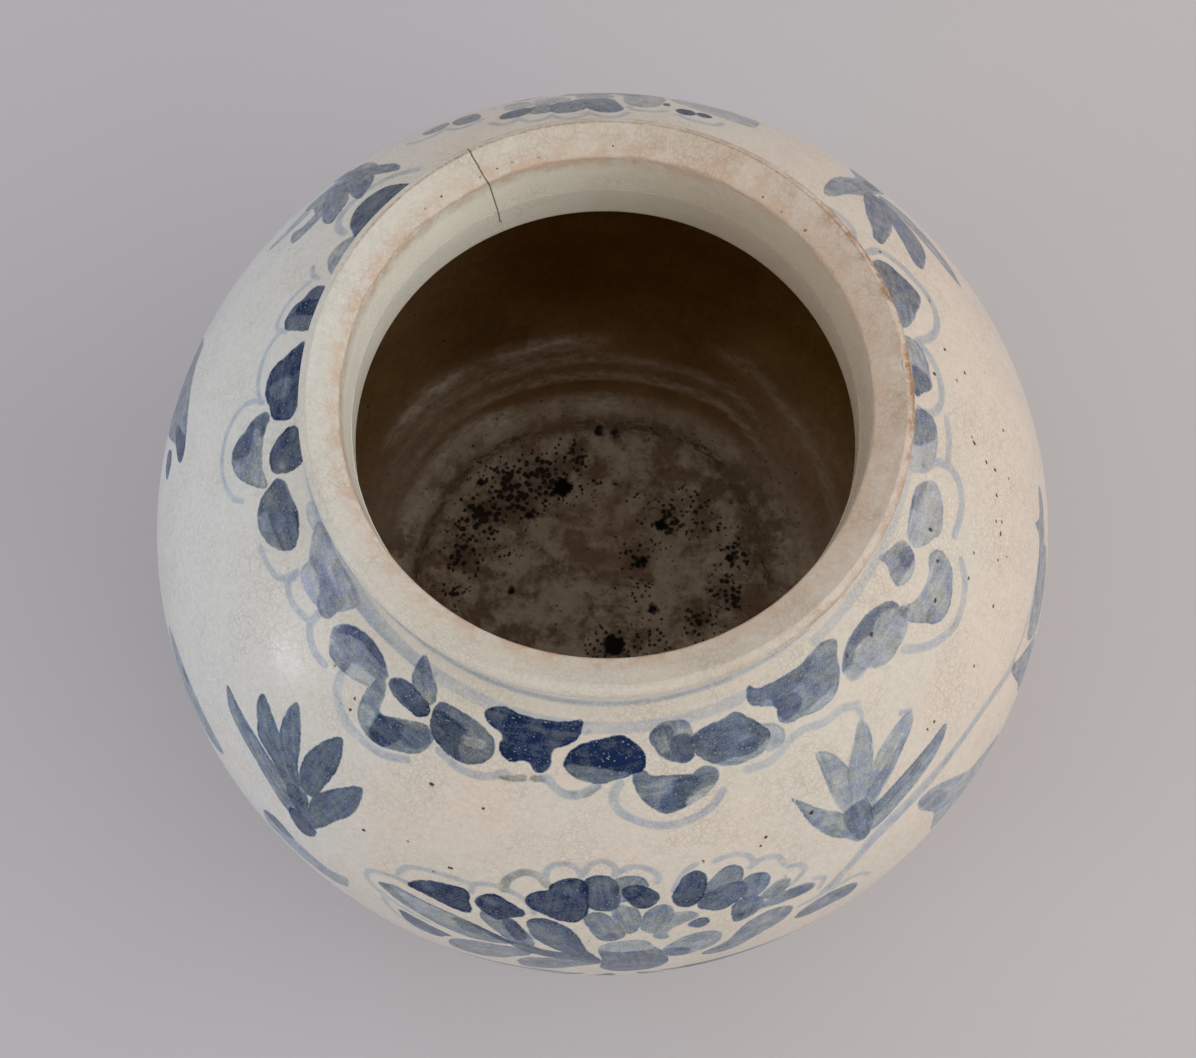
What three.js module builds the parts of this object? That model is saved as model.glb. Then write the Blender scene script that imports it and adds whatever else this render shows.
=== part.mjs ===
// A globular porcelain storage jar, painted in cobalt under a crackled glaze.
// It is put together as a potter puts it together: two thrown bowls luted edge to edge at the
// belly, a coil of clay pressed over that seam from the inside, a neck collar with a dished lip
// set on the thick mouth of the shoulder, and a turned foot ring under the base.
// Millimetres, +Z up. The origin is the centre of the circle that the foot stands on.
import * as THREE from "three";

// Heights above the standing face
const JAR_HEIGHT = 285;
const BELLY_HEIGHT = 149;
const FOOT_HEIGHT = 8;

// Outer radii
const BELLY_RADIUS = 158;
const FOOT_RADIUS = 84;
const NECK_BASE_RADIUS = 92;
const NECK_WAIST_RADIUS = 90.2;
const LIP_RADIUS = 95.6;

// Neck and lip, with depths measured down from the top of the lip
const NECK_BASE_DEPTH = 25.4;
const NECK_WAIST_DEPTH = 15.5;
const LIP_EDGE_DEPTH = 4.4;
const LIP_EDGE_INSET = 2.6;
const LIP_FACE_WIDTH = 10.6;
const LIP_FACE_FALL = 5.8;
const LIP_BREAK_ROUND = 1.6;
const THROAT_RADIUS = 80.5;
const THROAT_DEPTH = 46;
const THROAT_EDGE_ROUND = 4.5;
const UNDERCUT_FALL = 9;

// Thickness of the clay
const WALL = 7;
const BASE_WALL = 8.5;
const FLOOR_THICKNESS = 10;
const FLOOR_CORNER_ROUND = 15;
const BASE_DISH = 2.2;

// Foot ring
const FOOT_RING_WIDTH = 10;
const FOOT_EDGE_WIDTH = 5.5;
const FOOT_OUTER_TAPER = 1.8;
const FOOT_EDGE_ROUND = 1.2;

// Rings that the potter's fingers left inside the lower bowl
const THROWING_RINGS = 6;
const THROWING_RING_RELIEF = 1.1;
const POINTS_PER_RING = 4;

// Coil over the belly seam
const COIL_HEIGHT = 17;
const COIL_THICKNESS = 3.2;
const COIL_CLEARANCE = 0.3;

const SEGMENTS = 64;
const WALL_STEPS = 12;
const QUARTER_TURN = Math.PI / 2;

// Places that follow from the sizes above
const neckBaseHeight = JAR_HEIGHT - NECK_BASE_DEPTH;
const throatEdgeHeight = JAR_HEIGHT - THROAT_DEPTH;
const floorHeight = FOOT_HEIGHT + FLOOR_THICKNESS;
const footInnerRadius = FOOT_RADIUS - FOOT_RING_WIDTH;
const innerBellyRadius = BELLY_RADIUS - WALL;

const point = (radius, height) => new THREE.Vector2(radius, height);

// An egg-shaped wall is a quarter ellipse each way from the belly. Its outer half height is the
// one that brings it to the given radius at the given height.
function halfHeight(endRadius, endHeight) {
  return Math.abs(endHeight - BELLY_HEIGHT) / Math.sqrt(1 - (endRadius / BELLY_RADIUS) ** 2);
}

const shoulder = { radius: BELLY_RADIUS, rise: halfHeight(NECK_BASE_RADIUS, neckBaseHeight) };
const shoulderInside = { radius: innerBellyRadius, rise: shoulder.rise - WALL };
const bowl = { radius: BELLY_RADIUS, rise: -halfHeight(FOOT_RADIUS, FOOT_HEIGHT) };
const bowlInside = { radius: innerBellyRadius, rise: bowl.rise + BASE_WALL };

function onEllipse(ellipse, angle) {
  return point(ellipse.radius * Math.cos(angle), BELLY_HEIGHT + ellipse.rise * Math.sin(angle));
}

function angleAtHeight(ellipse, height) {
  return Math.asin((height - BELLY_HEIGHT) / ellipse.rise);
}

function ellipseArc(ellipse, fromAngle, toAngle, steps) {
  return Array.from({ length: steps + 1 }, (_, i) =>
    onEllipse(ellipse, THREE.MathUtils.lerp(fromAngle, toAngle, i / steps)),
  );
}

function circleArc(centre, radius, fromAngle, toAngle, steps) {
  return new THREE.EllipseCurve(
    centre.x, centre.y, radius, radius, fromAngle, toAngle, toAngle < fromAngle,
  ).getPoints(steps);
}

const bend = (from, pull, to, steps) =>
  new THREE.QuadraticBezierCurve(from, pull, to).getPoints(steps);

// The point where the tangent of an ellipse meets a horizontal line.
function tangentAtHeight(ellipse, angle, height) {
  const touch = onEllipse(ellipse, angle);
  const along = point(-ellipse.radius * Math.sin(angle), ellipse.rise * Math.cos(angle));
  return point(touch.x + (along.x * (height - touch.y)) / along.y, height);
}

// Stretches of an outline joined end to end, with the points that two stretches share left once.
function outline(...stretches) {
  const joined = [];
  for (const next of stretches.flat()) {
    const last = joined[joined.length - 1];
    if (!last || last.distanceTo(next) > 1e-4) joined.push(next);
  }
  return joined;
}

// A ring of clay turned about the jar's axis from one closed outline.
function turned(name, profile, material) {
  const closed = profile[0].x === 0 ? profile : [...profile, profile[0]];
  const geometry = new THREE.LatheGeometry(closed, SEGMENTS);
  geometry.rotateX(QUARTER_TURN);
  const mesh = new THREE.Mesh(geometry, material);
  mesh.name = name;
  return mesh;
}

// Foot ring: upright inside, drawn in a little towards the floor outside, with a rounded
// standing edge that the potter wiped clear of glaze.
function footRing(material) {
  const edgeOuter = FOOT_RADIUS - FOOT_OUTER_TAPER;
  const edgeInner = edgeOuter - FOOT_EDGE_WIDTH;
  const round = FOOT_EDGE_ROUND;
  return turned(
    "foot_ring",
    outline(
      point(FOOT_RADIUS, FOOT_HEIGHT),
      point(footInnerRadius, FOOT_HEIGHT),
      circleArc(point(edgeInner + round, round), round, Math.PI, 3 * QUARTER_TURN, 3),
      circleArc(point(edgeOuter - round, round), round, 3 * QUARTER_TURN, 4 * QUARTER_TURN, 3),
    ),
    material,
  );
}

// Throwing rings on the inside of the lower bowl. Each ring stands proud of the wall by a raised
// cosine, so the bowl is never thinner than its wall.
function throwingRings(fromAngle, toAngle) {
  const steps = THROWING_RINGS * POINTS_PER_RING;
  return Array.from({ length: steps + 1 }, (_, i) => {
    const angle = THREE.MathUtils.lerp(fromAngle, toAngle, i / steps);
    const swell = (1 - Math.cos((2 * Math.PI * i) / POINTS_PER_RING)) / 2;
    const wall = onEllipse(bowlInside, angle);
    const inward = point(-Math.cos(angle) / bowlInside.radius, -Math.sin(angle) / bowlInside.rise);
    return wall.addScaledVector(inward.normalize(), swell * THROWING_RING_RELIEF);
  });
}

// Lower bowl: thrown wall, flat floor with a rounded corner, and a base dished up a little
// inside the foot ring. Its upper edge is the lower face of the belly seam.
function lowerBowl(material) {
  const coilAngle = angleAtHeight(bowlInside, BELLY_HEIGHT - COIL_HEIGHT);
  const cornerAngle = angleAtHeight(bowlInside, floorHeight + FLOOR_CORNER_ROUND / 2);
  const cornerPull = tangentAtHeight(bowlInside, cornerAngle, floorHeight);
  const floorRadius = cornerPull.x - FLOOR_CORNER_ROUND / 2;
  return turned(
    "lower_bowl",
    outline(
      point(0, FOOT_HEIGHT + BASE_DISH),
      bend(
        point(footInnerRadius / 2, FOOT_HEIGHT + BASE_DISH),
        point(footInnerRadius - BASE_DISH, FOOT_HEIGHT + BASE_DISH),
        point(footInnerRadius, FOOT_HEIGHT),
        3,
      ),
      ellipseArc(bowl, angleAtHeight(bowl, FOOT_HEIGHT), 0, WALL_STEPS),
      onEllipse(bowlInside, 0),
      throwingRings(coilAngle, cornerAngle),
      bend(onEllipse(bowlInside, cornerAngle), cornerPull, point(floorRadius, floorHeight), 4),
      point(0, floorHeight),
    ),
    material,
  );
}

// Coil pressed over the belly seam: its back follows both bowls at the clearance, and its
// face is a shallow bulge.
function seamCoil(material) {
  const backRadius = innerBellyRadius - COIL_CLEARANCE;
  const backAt = (inside) => {
    const edgeHeight = BELLY_HEIGHT + Math.sign(inside.rise) * (COIL_HEIGHT / 2);
    return onEllipse({ ...inside, radius: backRadius }, angleAtHeight(inside, edgeHeight));
  };
  const below = backAt(bowlInside);
  const above = backAt(shoulderInside);
  const face = bend(above, point(backRadius - 2 * COIL_THICKNESS, BELLY_HEIGHT), below, 6);
  return turned(
    "seam_coil",
    outline(below, point(backRadius, BELLY_HEIGHT), above, face.slice(1, -1)),
    material,
  );
}

// Upper bowl: the shoulder, closing in from the belly seam to a mouth left thick to carry the
// neck. The throat's lower edge is rolled, and its underside blends into the inner wall.
function upperBowl(material) {
  const round = THROAT_EDGE_ROUND;
  const blendAngle = angleAtHeight(shoulderInside, throatEdgeHeight - UNDERCUT_FALL);
  const rolled = point(THROAT_RADIUS + round, throatEdgeHeight);
  const rollCentre = point(rolled.x, throatEdgeHeight + round);
  return turned(
    "upper_bowl",
    outline(
      ellipseArc(shoulder, 0, angleAtHeight(shoulder, neckBaseHeight), WALL_STEPS),
      point(THROAT_RADIUS, neckBaseHeight),
      circleArc(rollCentre, round, 2 * QUARTER_TURN, 3 * QUARTER_TURN, 4),
      bend(
        rolled,
        tangentAtHeight(shoulderInside, blendAngle, throatEdgeHeight),
        onEllipse(shoulderInside, blendAngle),
        4,
      ),
      ellipseArc(shoulderInside, blendAngle, 0, WALL_STEPS - 3),
    ),
    material,
  );
}

// Neck collar: a waisted collar whose lip turns out. The lip's face is dished towards the
// throat, and its outer edge is the widest part.
function neckCollar(material) {
  const base = point(NECK_BASE_RADIUS, neckBaseHeight);
  const waist = point(NECK_WAIST_RADIUS, JAR_HEIGHT - NECK_WAIST_DEPTH);
  const lipEdge = point(LIP_RADIUS, JAR_HEIGHT - LIP_EDGE_DEPTH);
  const lipCorner = point(LIP_RADIUS - LIP_EDGE_INSET, JAR_HEIGHT);
  const lipBreak = point(lipCorner.x - LIP_FACE_WIDTH, JAR_HEIGHT - LIP_FACE_FALL);
  const alongFace = lipCorner.clone().sub(lipBreak).normalize();
  const breakStart = lipBreak.clone().addScaledVector(alongFace, LIP_BREAK_ROUND);
  const breakEnd = point(lipBreak.x, lipBreak.y - LIP_BREAK_ROUND);
  const underLip = point(lipEdge.x, (waist.y + lipEdge.y) / 2);
  return turned(
    "neck_collar",
    outline(
      bend(base, point(waist.x, (waist.y + base.y) / 2), waist, 3),
      new THREE.CubicBezierCurve(
        waist, point(waist.x, underLip.y), point(underLip.x, underLip.y), lipEdge,
      ).getPoints(5),
      bend(lipEdge, point(lipEdge.x, lipCorner.y), lipCorner, 4),
      bend(breakStart, lipBreak, breakEnd, 3),
      point(THROAT_RADIUS, neckBaseHeight),
    ),
    material,
  );
}

const glazed = (color, roughness) => new THREE.MeshStandardMaterial({ color, roughness, metalness: 0 });

const jar = new THREE.Group();
jar.add(
  footRing(glazed(0xb9a78c, 0.85)),
  lowerBowl(glazed(0xd9d3c4, 0.3)),
  seamCoil(glazed(0x6f6253, 0.6)),
  upperBowl(glazed(0xdcd6c8, 0.3)),
  neckCollar(glazed(0xd6cdb9, 0.35)),
);

export default jar;
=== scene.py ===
"""A globular porcelain jar, painted in cobalt under a crackled glaze and seen from above.

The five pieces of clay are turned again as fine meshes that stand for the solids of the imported
model: foot ring, lower bowl, seam coil, upper bowl and neck collar. The painting is laid out on
the wall as brush dabs, leaves and lines, each placed by its azimuth and by its depth down the
wall from the neck. Outlines are written in millimetres, and meshes are made in metres.
"""
import math
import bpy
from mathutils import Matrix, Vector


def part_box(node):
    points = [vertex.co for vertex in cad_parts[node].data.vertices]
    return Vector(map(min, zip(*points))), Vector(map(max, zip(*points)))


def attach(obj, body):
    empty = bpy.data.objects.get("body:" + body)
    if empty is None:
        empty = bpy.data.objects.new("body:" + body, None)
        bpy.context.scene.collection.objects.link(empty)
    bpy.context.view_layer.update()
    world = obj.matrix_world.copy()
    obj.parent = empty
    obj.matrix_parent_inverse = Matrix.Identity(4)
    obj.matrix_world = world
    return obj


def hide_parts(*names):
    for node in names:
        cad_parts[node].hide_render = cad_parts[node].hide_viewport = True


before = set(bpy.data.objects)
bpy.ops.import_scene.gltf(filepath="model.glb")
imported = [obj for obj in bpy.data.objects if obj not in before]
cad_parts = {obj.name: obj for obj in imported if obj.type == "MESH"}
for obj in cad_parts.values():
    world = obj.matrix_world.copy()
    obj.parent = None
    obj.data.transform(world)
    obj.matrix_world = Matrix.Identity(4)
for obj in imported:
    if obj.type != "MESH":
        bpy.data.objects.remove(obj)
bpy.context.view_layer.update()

from types import SimpleNamespace

import bpy
import numpy as np
from bpy.props import FloatProperty, FloatVectorProperty, IntProperty, PointerProperty
from mathutils import Matrix, Vector

bl_info = {
    "name": "Painted porcelain jar",
    "version": (1, 0, 0),
    "blender": (4, 5, 0),
    "location": "3D View > Sidebar > Jar",
    "description": "Dresses a globular blue-and-white storage jar piece by piece",
    "category": "Object",
}

MM = 0.001

# Distances are above zero inside a painted shape. Dabs closer than this get different channels.
OUT_OF_REACH = -20.0
CHANNELS = 5
DAB_CLEARANCE = 3.0

NECK_LOW, NECK_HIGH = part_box("neck_collar")
SHOULDER_LOW, SHOULDER_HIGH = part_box("upper_bowl")
FOOT_LOW, FOOT_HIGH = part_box("foot_ring")


# Sizes and colours a user may change

class JarSizes(bpy.types.PropertyGroup):
    """Real sizes of the jar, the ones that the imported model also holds."""

    height: FloatProperty(
        name="Height", description="From the standing face to the top of the lip",
        default=NECK_HIGH.z, unit="LENGTH")
    belly_radius: FloatProperty(
        name="Belly radius", description="Outer radius at the widest part of the body",
        default=SHOULDER_HIGH.x, unit="LENGTH")
    belly_height: FloatProperty(
        name="Belly height", description="Height of the seam between the two bowls",
        default=SHOULDER_LOW.z, unit="LENGTH")
    neck_height: FloatProperty(
        name="Neck height", description="Height at which the neck stands on the shoulder",
        default=NECK_LOW.z, unit="LENGTH")
    neck_radius: FloatProperty(
        name="Neck radius", description="Outer radius where the neck meets the shoulder",
        default=0.092, unit="LENGTH")
    lip_radius: FloatProperty(
        name="Lip radius", description="Outer radius of the lip, the widest part of the neck",
        default=NECK_HIGH.x, unit="LENGTH")
    throat_radius: FloatProperty(
        name="Throat radius", description="Radius of the narrowest part of the mouth",
        default=0.0805, unit="LENGTH")
    foot_radius: FloatProperty(
        name="Foot radius", description="Outer radius of the foot ring where it leaves the bowl",
        default=FOOT_HIGH.x, unit="LENGTH")
    foot_height: FloatProperty(
        name="Foot height", description="Height of the foot ring",
        default=FOOT_HIGH.z, unit="LENGTH")
    wall: FloatProperty(
        name="Wall", description="Thickness of the thrown wall at the belly",
        default=0.007, unit="LENGTH")
    unevenness: FloatProperty(
        name="Unevenness", description="How far the hand-turned wall falls short of a true curve",
        default=0.0003, unit="LENGTH")
    columns: IntProperty(
        name="Columns", description="Columns of faces round the painted wall", default=768)


class JarColours(bpy.types.PropertyGroup):
    """Finishes of the jar and the room it is photographed in."""

    cream: FloatVectorProperty(
        name="Cream glaze", description="Glaze on the front of the body", subtype="COLOR",
        default=(0.654, 0.602, 0.526))
    cool: FloatVectorProperty(
        name="Cool glaze", description="Glaze where it runs thick and bluish", subtype="COLOR",
        default=(0.645, 0.655, 0.645))
    blush: FloatVectorProperty(
        name="Stained glaze", description="Glaze where the body has taken up a pinkish stain",
        subtype="COLOR", default=(0.690, 0.592, 0.505))
    wash: FloatVectorProperty(
        name="Inside wash", description="Thin brown wash inside the jar", subtype="COLOR",
        default=(0.290, 0.160, 0.058))
    biscuit: FloatVectorProperty(
        name="Biscuit", description="Bare fired clay of the foot ring", subtype="COLOR",
        default=(0.440, 0.330, 0.220))
    backdrop: FloatVectorProperty(
        name="Backdrop", description="Plain surface that the jar stands on", subtype="COLOR",
        default=(0.530, 0.517, 0.562))


# Painting, read as a decorator would lay it out: azimuth in degrees, with the near side at -90
# and the right side at 0, and depth in millimetres down the wall from the foot of the neck.
# A dab is a name, its strength from pale to navy and its outline, then the strokes laid over it,
# each marked with a plus. A stroke with a single place and a radius is a soft pool. A line that
# starts with a space carries on from the one above it.

COLLAR_DABS = """\
violet oval 0.57: 219.2 19,220 15,222.5 12,226 11,229.5 13,232 17,231 20,230 24,226 26.5,222 26.5,220.3 23
+ 0.84: 219.8 18,220.5 14.5,223 12,227 11.2,230.3 13.5,231 15.5,228 15,225 14.3,222.5 15.5,221 18
+ 0.3: 225.7 21.5,228 20.5,231 20.5,230.5 23.5,228 26,225.6 26.5
left kidney 0.54: -129 18,-129.8 25,-129.5 32,-128 37,-124.5 39.5,-121 37,-118 34,-116.8 30,-116.5 26,
 -118 23.5,-120 24,-123 26.5,-126 29,-127 22,-128 18.5
+ 0.88: -126.3 30,-124.5 27.8,-122 27.5,-120.8 30.5,-121.8 35,-123.2 39,-125.5 39,-126.5 35
+ 0.72: -121.5 27,-119.5 24.5,-117.3 25,-117 30,-119 33.5,-121 33.5
+ 0.4: -129.3 30,-126.6 30.5,-126.8 36,-128.5 36.5
small left oval 0.82: -127.5 17.5,-126 14.5,-123.5 14,-120 16,-118.8 19,-120 22,-122 22,-126 20.5
+ 0.88: -122.3 19,-119 17.5,-118.7 19.5,-120 22.2,-122 22
+ 0.73: -121.9 14.7,-120.4 15.3,-120.3 17.2,-121.7 17
pointed left leaf 0.5: -124.5 3,-121.5 7,-119.5 10.5,-118.8 15,-120 17,-122.5 15,-124 13,-124.8 9
+ 0.62: -124.8 4,-122.5 5.8,-120.8 9.3,-122.3 12,-124 13.5,-124.9 9
grey oval 0.68: -118 14,-115 13.2,-110.5 14.5,-107.5 17.5,-106.6 21,-107 25,-109 28.5,-111.5 29.7,
 -114.5 28,-117 25,-118.2 20.5
+ 0.88: -118.3 17,-115 16.5,-112 18,-111.8 21,-112.3 25,-111.5 29.6,-115 28.5,-117.5 24
+ 0.49: -112 20.5,-109.5 19.5,-108 20.5,-109 23,-111.5 23.2
forked dab 0.9: -110 10,-108.5 7.5,-106.5 6.4,-103.5 7.3,-98 7.3,-94 6.3,-92.5 5.7,-92.5 9,-93.5 12.5,
 -95.5 15,-96.8 16,-97.3 18,-97.2 22,-98.2 25,-99.5 25,-100.5 22.5,-101.5 22,-103.5 23.5,-105 22.5,
 -106 19.5,-105.7 16,-107 14.5,-109 13
+ 0.88: -110.3 10,-108.5 7.2,-106 6.4,-105.5 9,-106.5 13,-109 13.3
+ 0.96: -106.5 9.5,-104 8.5,-101.5 10.5,-98.5 13,-97.2 16,-97.1 21,-97.8 25,-99.5 25.5,-100.5 22.5,-102 22,
 -103.5 24,-105.5 22.7,-106.2 18,-105.9 15.5
navy oval 0.98: -95 20.5,-94 16,-91.5 13,-88 11.3,-85.7 10.5,-83.5 13,-82 16,-81.7 19.5,-82.3 23,-84 24,
 -86.5 25.5,-89 27,-92 26,-94.3 23.5
+ 0.72: -95 21.5,-91 21,-88 22,-84.5 23.5,-86.5 26,-90 27.5,-93 26.5,-94.8 24
near kidney 0.64: -84 23.5,-82 23,-81 25,-77.5 26,-74.5 27,-73.5 25.7,-72 25.5,-70.6 27.5,-70.5 30,
 -71.5 33,-73.5 36,-76 38,-78.5 39.5,-80 38.8,-82 35,-83.3 30.5
+ 0.55: -81.5 27.5,-79 26.8,-77.8 28.5,-78.3 31.5,-80.3 32.5,-81.7 30.5
+ 0.8: -79.8 33,-78 31.5,-77.3 28,-75.5 26.8,-73.8 28.5,-74.3 32,-76 35.5,-76.5 38.7,-79 39.7,-80 37
+ 0.35: -76 36,-74 33.5,-71 32.5,-72 35,-74 37,-76 38
two-lobed dab 0.45: -80.7 11.5,-78.5 8,-75.5 7.8,-73.8 9,-73.2 12,-73.5 20,-75 22.5,-77 21.5,-79 19,
 -80 15.5
+ 0.7: -80.9 11.5,-79 8.8,-77 9,-76.3 12,-77.3 14,-77.5 18,-76.5 21.5,-78.5 19.7,-80.2 16
+ 0.48: -79.8 13,-78.6 12,-77.6 13.5,-77.8 17.5,-78.8 17.5
+ 0.8: -77.4 15,-76.5 13,-75 12.5,-73.7 13.5,-73.2 17,-73.5 21,-75 22.7,-76.5 21.5,-77.3 18.5
near right oval 0.72: -73.5 14.5,-71 12.5,-67.5 11.8,-65 11,-63.5 14,-61.8 18,-60.7 22,-61.2 25,-63 28,
 -66.5 28.5,-69 27.5,-71.5 24.5,-73.3 20.5,-73.8 17.5
+ 0.42: -71 26,-68 25.7,-64.5 26.5,-61.5 24.5,-60.8 27,-63.5 29,-68 28.8
long wash 0.56: -62.2 10,-62 7.5,-61 5,-60 7,-56 8,-51 8.3,-47.5 7.3,-45 7,-43 9,-42.7 11,-44 13.5,
 -45 17.5,-46.5 21.5,-48.5 24.5,-51.5 25,-55 23.5,-57.2 23,-58.5 20.5,-58 16,-59.3 14,-61.3 12
+ 0.78: -58.4 14.5,-57 11,-55.5 13,-53.8 15.5,-53.5 18.5,-55 21,-57.7 21
+ 0.7: -62.3 9.5,-61 5.5,-58 8,-52 9,-48 8.3,-50 11.5,-53 13.5,-57 13
+ 0.36: -54 22.7,-50 22,-47 21.5,-48.5 24.5,-52 25
capped wash 0.38: -45 20.5,-44.5 18,-42 14,-38.5 12.3,-35 12.5,-31.5 15,-30 18.5,-30.5 26,-32 28.5,
 -34.5 29.5,-37.5 30,-40 28,-41 25.5,-43 26,-44.7 24.5
+ 0.34: -44.7 20,-41.5 19.5,-41 25.3,-44.5 25.5
+ 0.66: -45.2 20,-44 17,-41.5 13.8,-38 12,-35 12.2,-31.6 14.3,-29.7 18.5,-30.2 21,-32 17.5,-35 16.5,-37 18,
 -38.5 17,-41 17.5,-43 20
right kidney 0.38: -31 20,-29.5 21.5,-28 24.5,-25 26,-22 25.5,-20.5 23.5,-19 23.2,-17.8 25.5,-17.8 29,
 -19 34,-22 38,-25 40,-27.5 38,-28.7 34,-30 30,-31 25
+ 0.49: -31.2 21,-29.7 22,-29 25.5,-29.7 29.5,-30.9 27
+ 0.5: -28.8 33.5,-27 31.8,-25.8 33,-26 37,-26.8 39.5,-28.3 37
pointed flower 0.46: -25.5 5,-23.5 7,-21 9,-19.8 11.5,-20.5 15,-21 17,-23 19,-25.5 19,-27.5 16.5,-27.3 14,
 -26.7 11.5,-25.7 9
+ 0.66: -24.1 14,-23 11.7,-21.5 12,-19.9 14.3,-20.4 17.4,-23.4 17
+ 0.25: -27.7 16.2,-25 16.8,-22.5 17.4,-22.8 19.3,-25.5 19.3
light oval 0.33: -19.8 14,-18.5 11.5,-14.5 10,-10.5 9.8,-8.5 12,-7.3 15.5,-7.5 19,-9.5 22,-12.5 24,
 -15 24.5,-16.5 22.5,-18.5 19.5,-19.7 17
+ 0.3: -15.5 12.5,-12.5 12,-10.5 14,-11 17,-14 17.5,-15.7 15.5
+ 0.55: -14 10.1,-11 9.5,-8.6 11.8,-7.5 14.5,-9.8 14,-11.5 12,-13.5 11.8
+ 0.34: -18.5 19,-16.5 17.5,-14.2 18.5,-13.6 21.5,-14.8 24.5,-16.5 22.5
right bud 0.28: -6.5 6,0 7,6 9.5,5.5 13,4.5 16.5,2 18,-2 17.5,-5 15.5,-6.5 12
+ 0.54: -1.5 7,5 8.8,5.6 13,4.4 17,1.5 17.8,-0.5 14
right dab under the lip 0.39: 8.3 10,14 8,20 9,20 14,18.5 17.5,15.5 19,12.5 18.5,11 18.7,9.7 17,9 13.5
+ 0.64: 8.1 9,14 10,13.8 14.5,12.5 17,11.2 18.5,9.6 17,9 13.5
right tulip 0.61: 22 13,23 19,25 23.5,26 27,28 30,30 29,33 26,35 24,36.2 18.5,34 9,25 7
+ 0.5: 21.8 13,29 16,28.5 17.5,26 20,25 22,23.2 19.5
back left cup 0.8: 128 20,129.5 27,131.5 31,134.5 32.5,137.5 31,140 27,141.3 22,142 16,136 10,130 13
back left pale dab 0.44: 142 17,150.5 14,149 20,147.5 22.5,145 22.8,143 21
left tulip 0.8: 153.3 15,154 19.5,156.5 21.5,158 24,160.5 25,162.2 23.5,162.7 19,162.2 11,158 7,154 9
+ 1: 156.4 12,159.5 12,159.5 21,157.6 21.7,156.3 18
+ 0.76: 159.7 12,162.5 12,162.5 22,160.7 25,159.7 20
left long oval 0.92: 165.5 11,166 14.5,168 18.5,169.5 22,171.5 23.7,174.5 23.5,177 20.5,179.5 18,179.9 10,
 175 8
+ 0.94: 165.8 11,171 10,171.5 16,170.5 22.5,169 20.5,167.3 16.5
+ 0.76: 172 13,175.5 12.5,176 17,174 22,172.5 20
+ 0.91: 176.3 10,179.9 10,179.5 18,177 19.5,176.3 15
left round 0.84: 182 8,182 12,184 17,186.5 19.5,189 18.5,190 15,190.2 10,189 5.5,185 5.5
+ 0.83: 182 9,184.5 8,184.5 12,183 14.7,182.2 12
+ 0.9: 183.3 11.5,185 11,185.3 14.5,183.9 15
+ 0.6: 188.7 14.5 1.2
left round kidney 0.58: 178 21,179.5 20,181 21.5,184 22.8,188 23,190.5 21.5,191.3 22.5,190.5 26,189 31,
 187 35.5,184.5 38,182.5 37,181 34,180.2 31.5,178.8 28,177.9 24
+ 0.5: 182 23,186 22.7,190.5 21.7,190.5 26,186 27,182.5 26.5
+ 0.82: 180.3 27.5,182.5 27.5,184.5 30,184.5 36.5,182.5 37.4,181 33.5
+ 0.77: 177.8 21,179.6 20.2,180.5 24,180 30,178.5 27,177.8 24
+ 0.48: 186 31,188.8 30,187.3 34.8,185.5 36.7
+ 0.81: 180.5 21.2,182 22,182 23.8,180.6 23.5
left front oval 0.76: 190.6 17,191.7 14,194 12.8,197.5 11.5,200.5 12.5,203 15.5,203.5 19,202.3 23,200 27,
 197 28.7,194.5 27.5,192.5 24.5,191.5 21
+ 0.58: 195.5 24,199 22.8,203 22,202 25,199.7 28,197 28.9,195.3 27.5
teal wash 0.36: 201.5 4.5,205 3,209 3.5,214 3.5,217 3.8,219.5 6,219 10,217.7 14,217.5 18,216 20,214.5 19.5,
 212.5 20,209.5 20,207.5 18,207 14,205 11,203 8
+ 0.56: 206.8 10.5,210 10,214 10.3,217.5 10.8,217.9 15,217.5 18.5,215.8 20.2,214 18.8,212.5 15.5,210.5 13,
 208 14,206.9 13.5
+ 0.4: 202 4.3,208 3.6,216 3.9,219.4 6.5,218.7 10,212 9.5,206 10.5,203.5 8
near right wash 0.3: -63.5 20,-61 19,-59 21.5,-58.4 25,-59.5 28.3,-62 28.5
left teal patch 0.23: 198 4,203 4.3,203 7.5,200 8.3,197.7 7
"""

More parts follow.
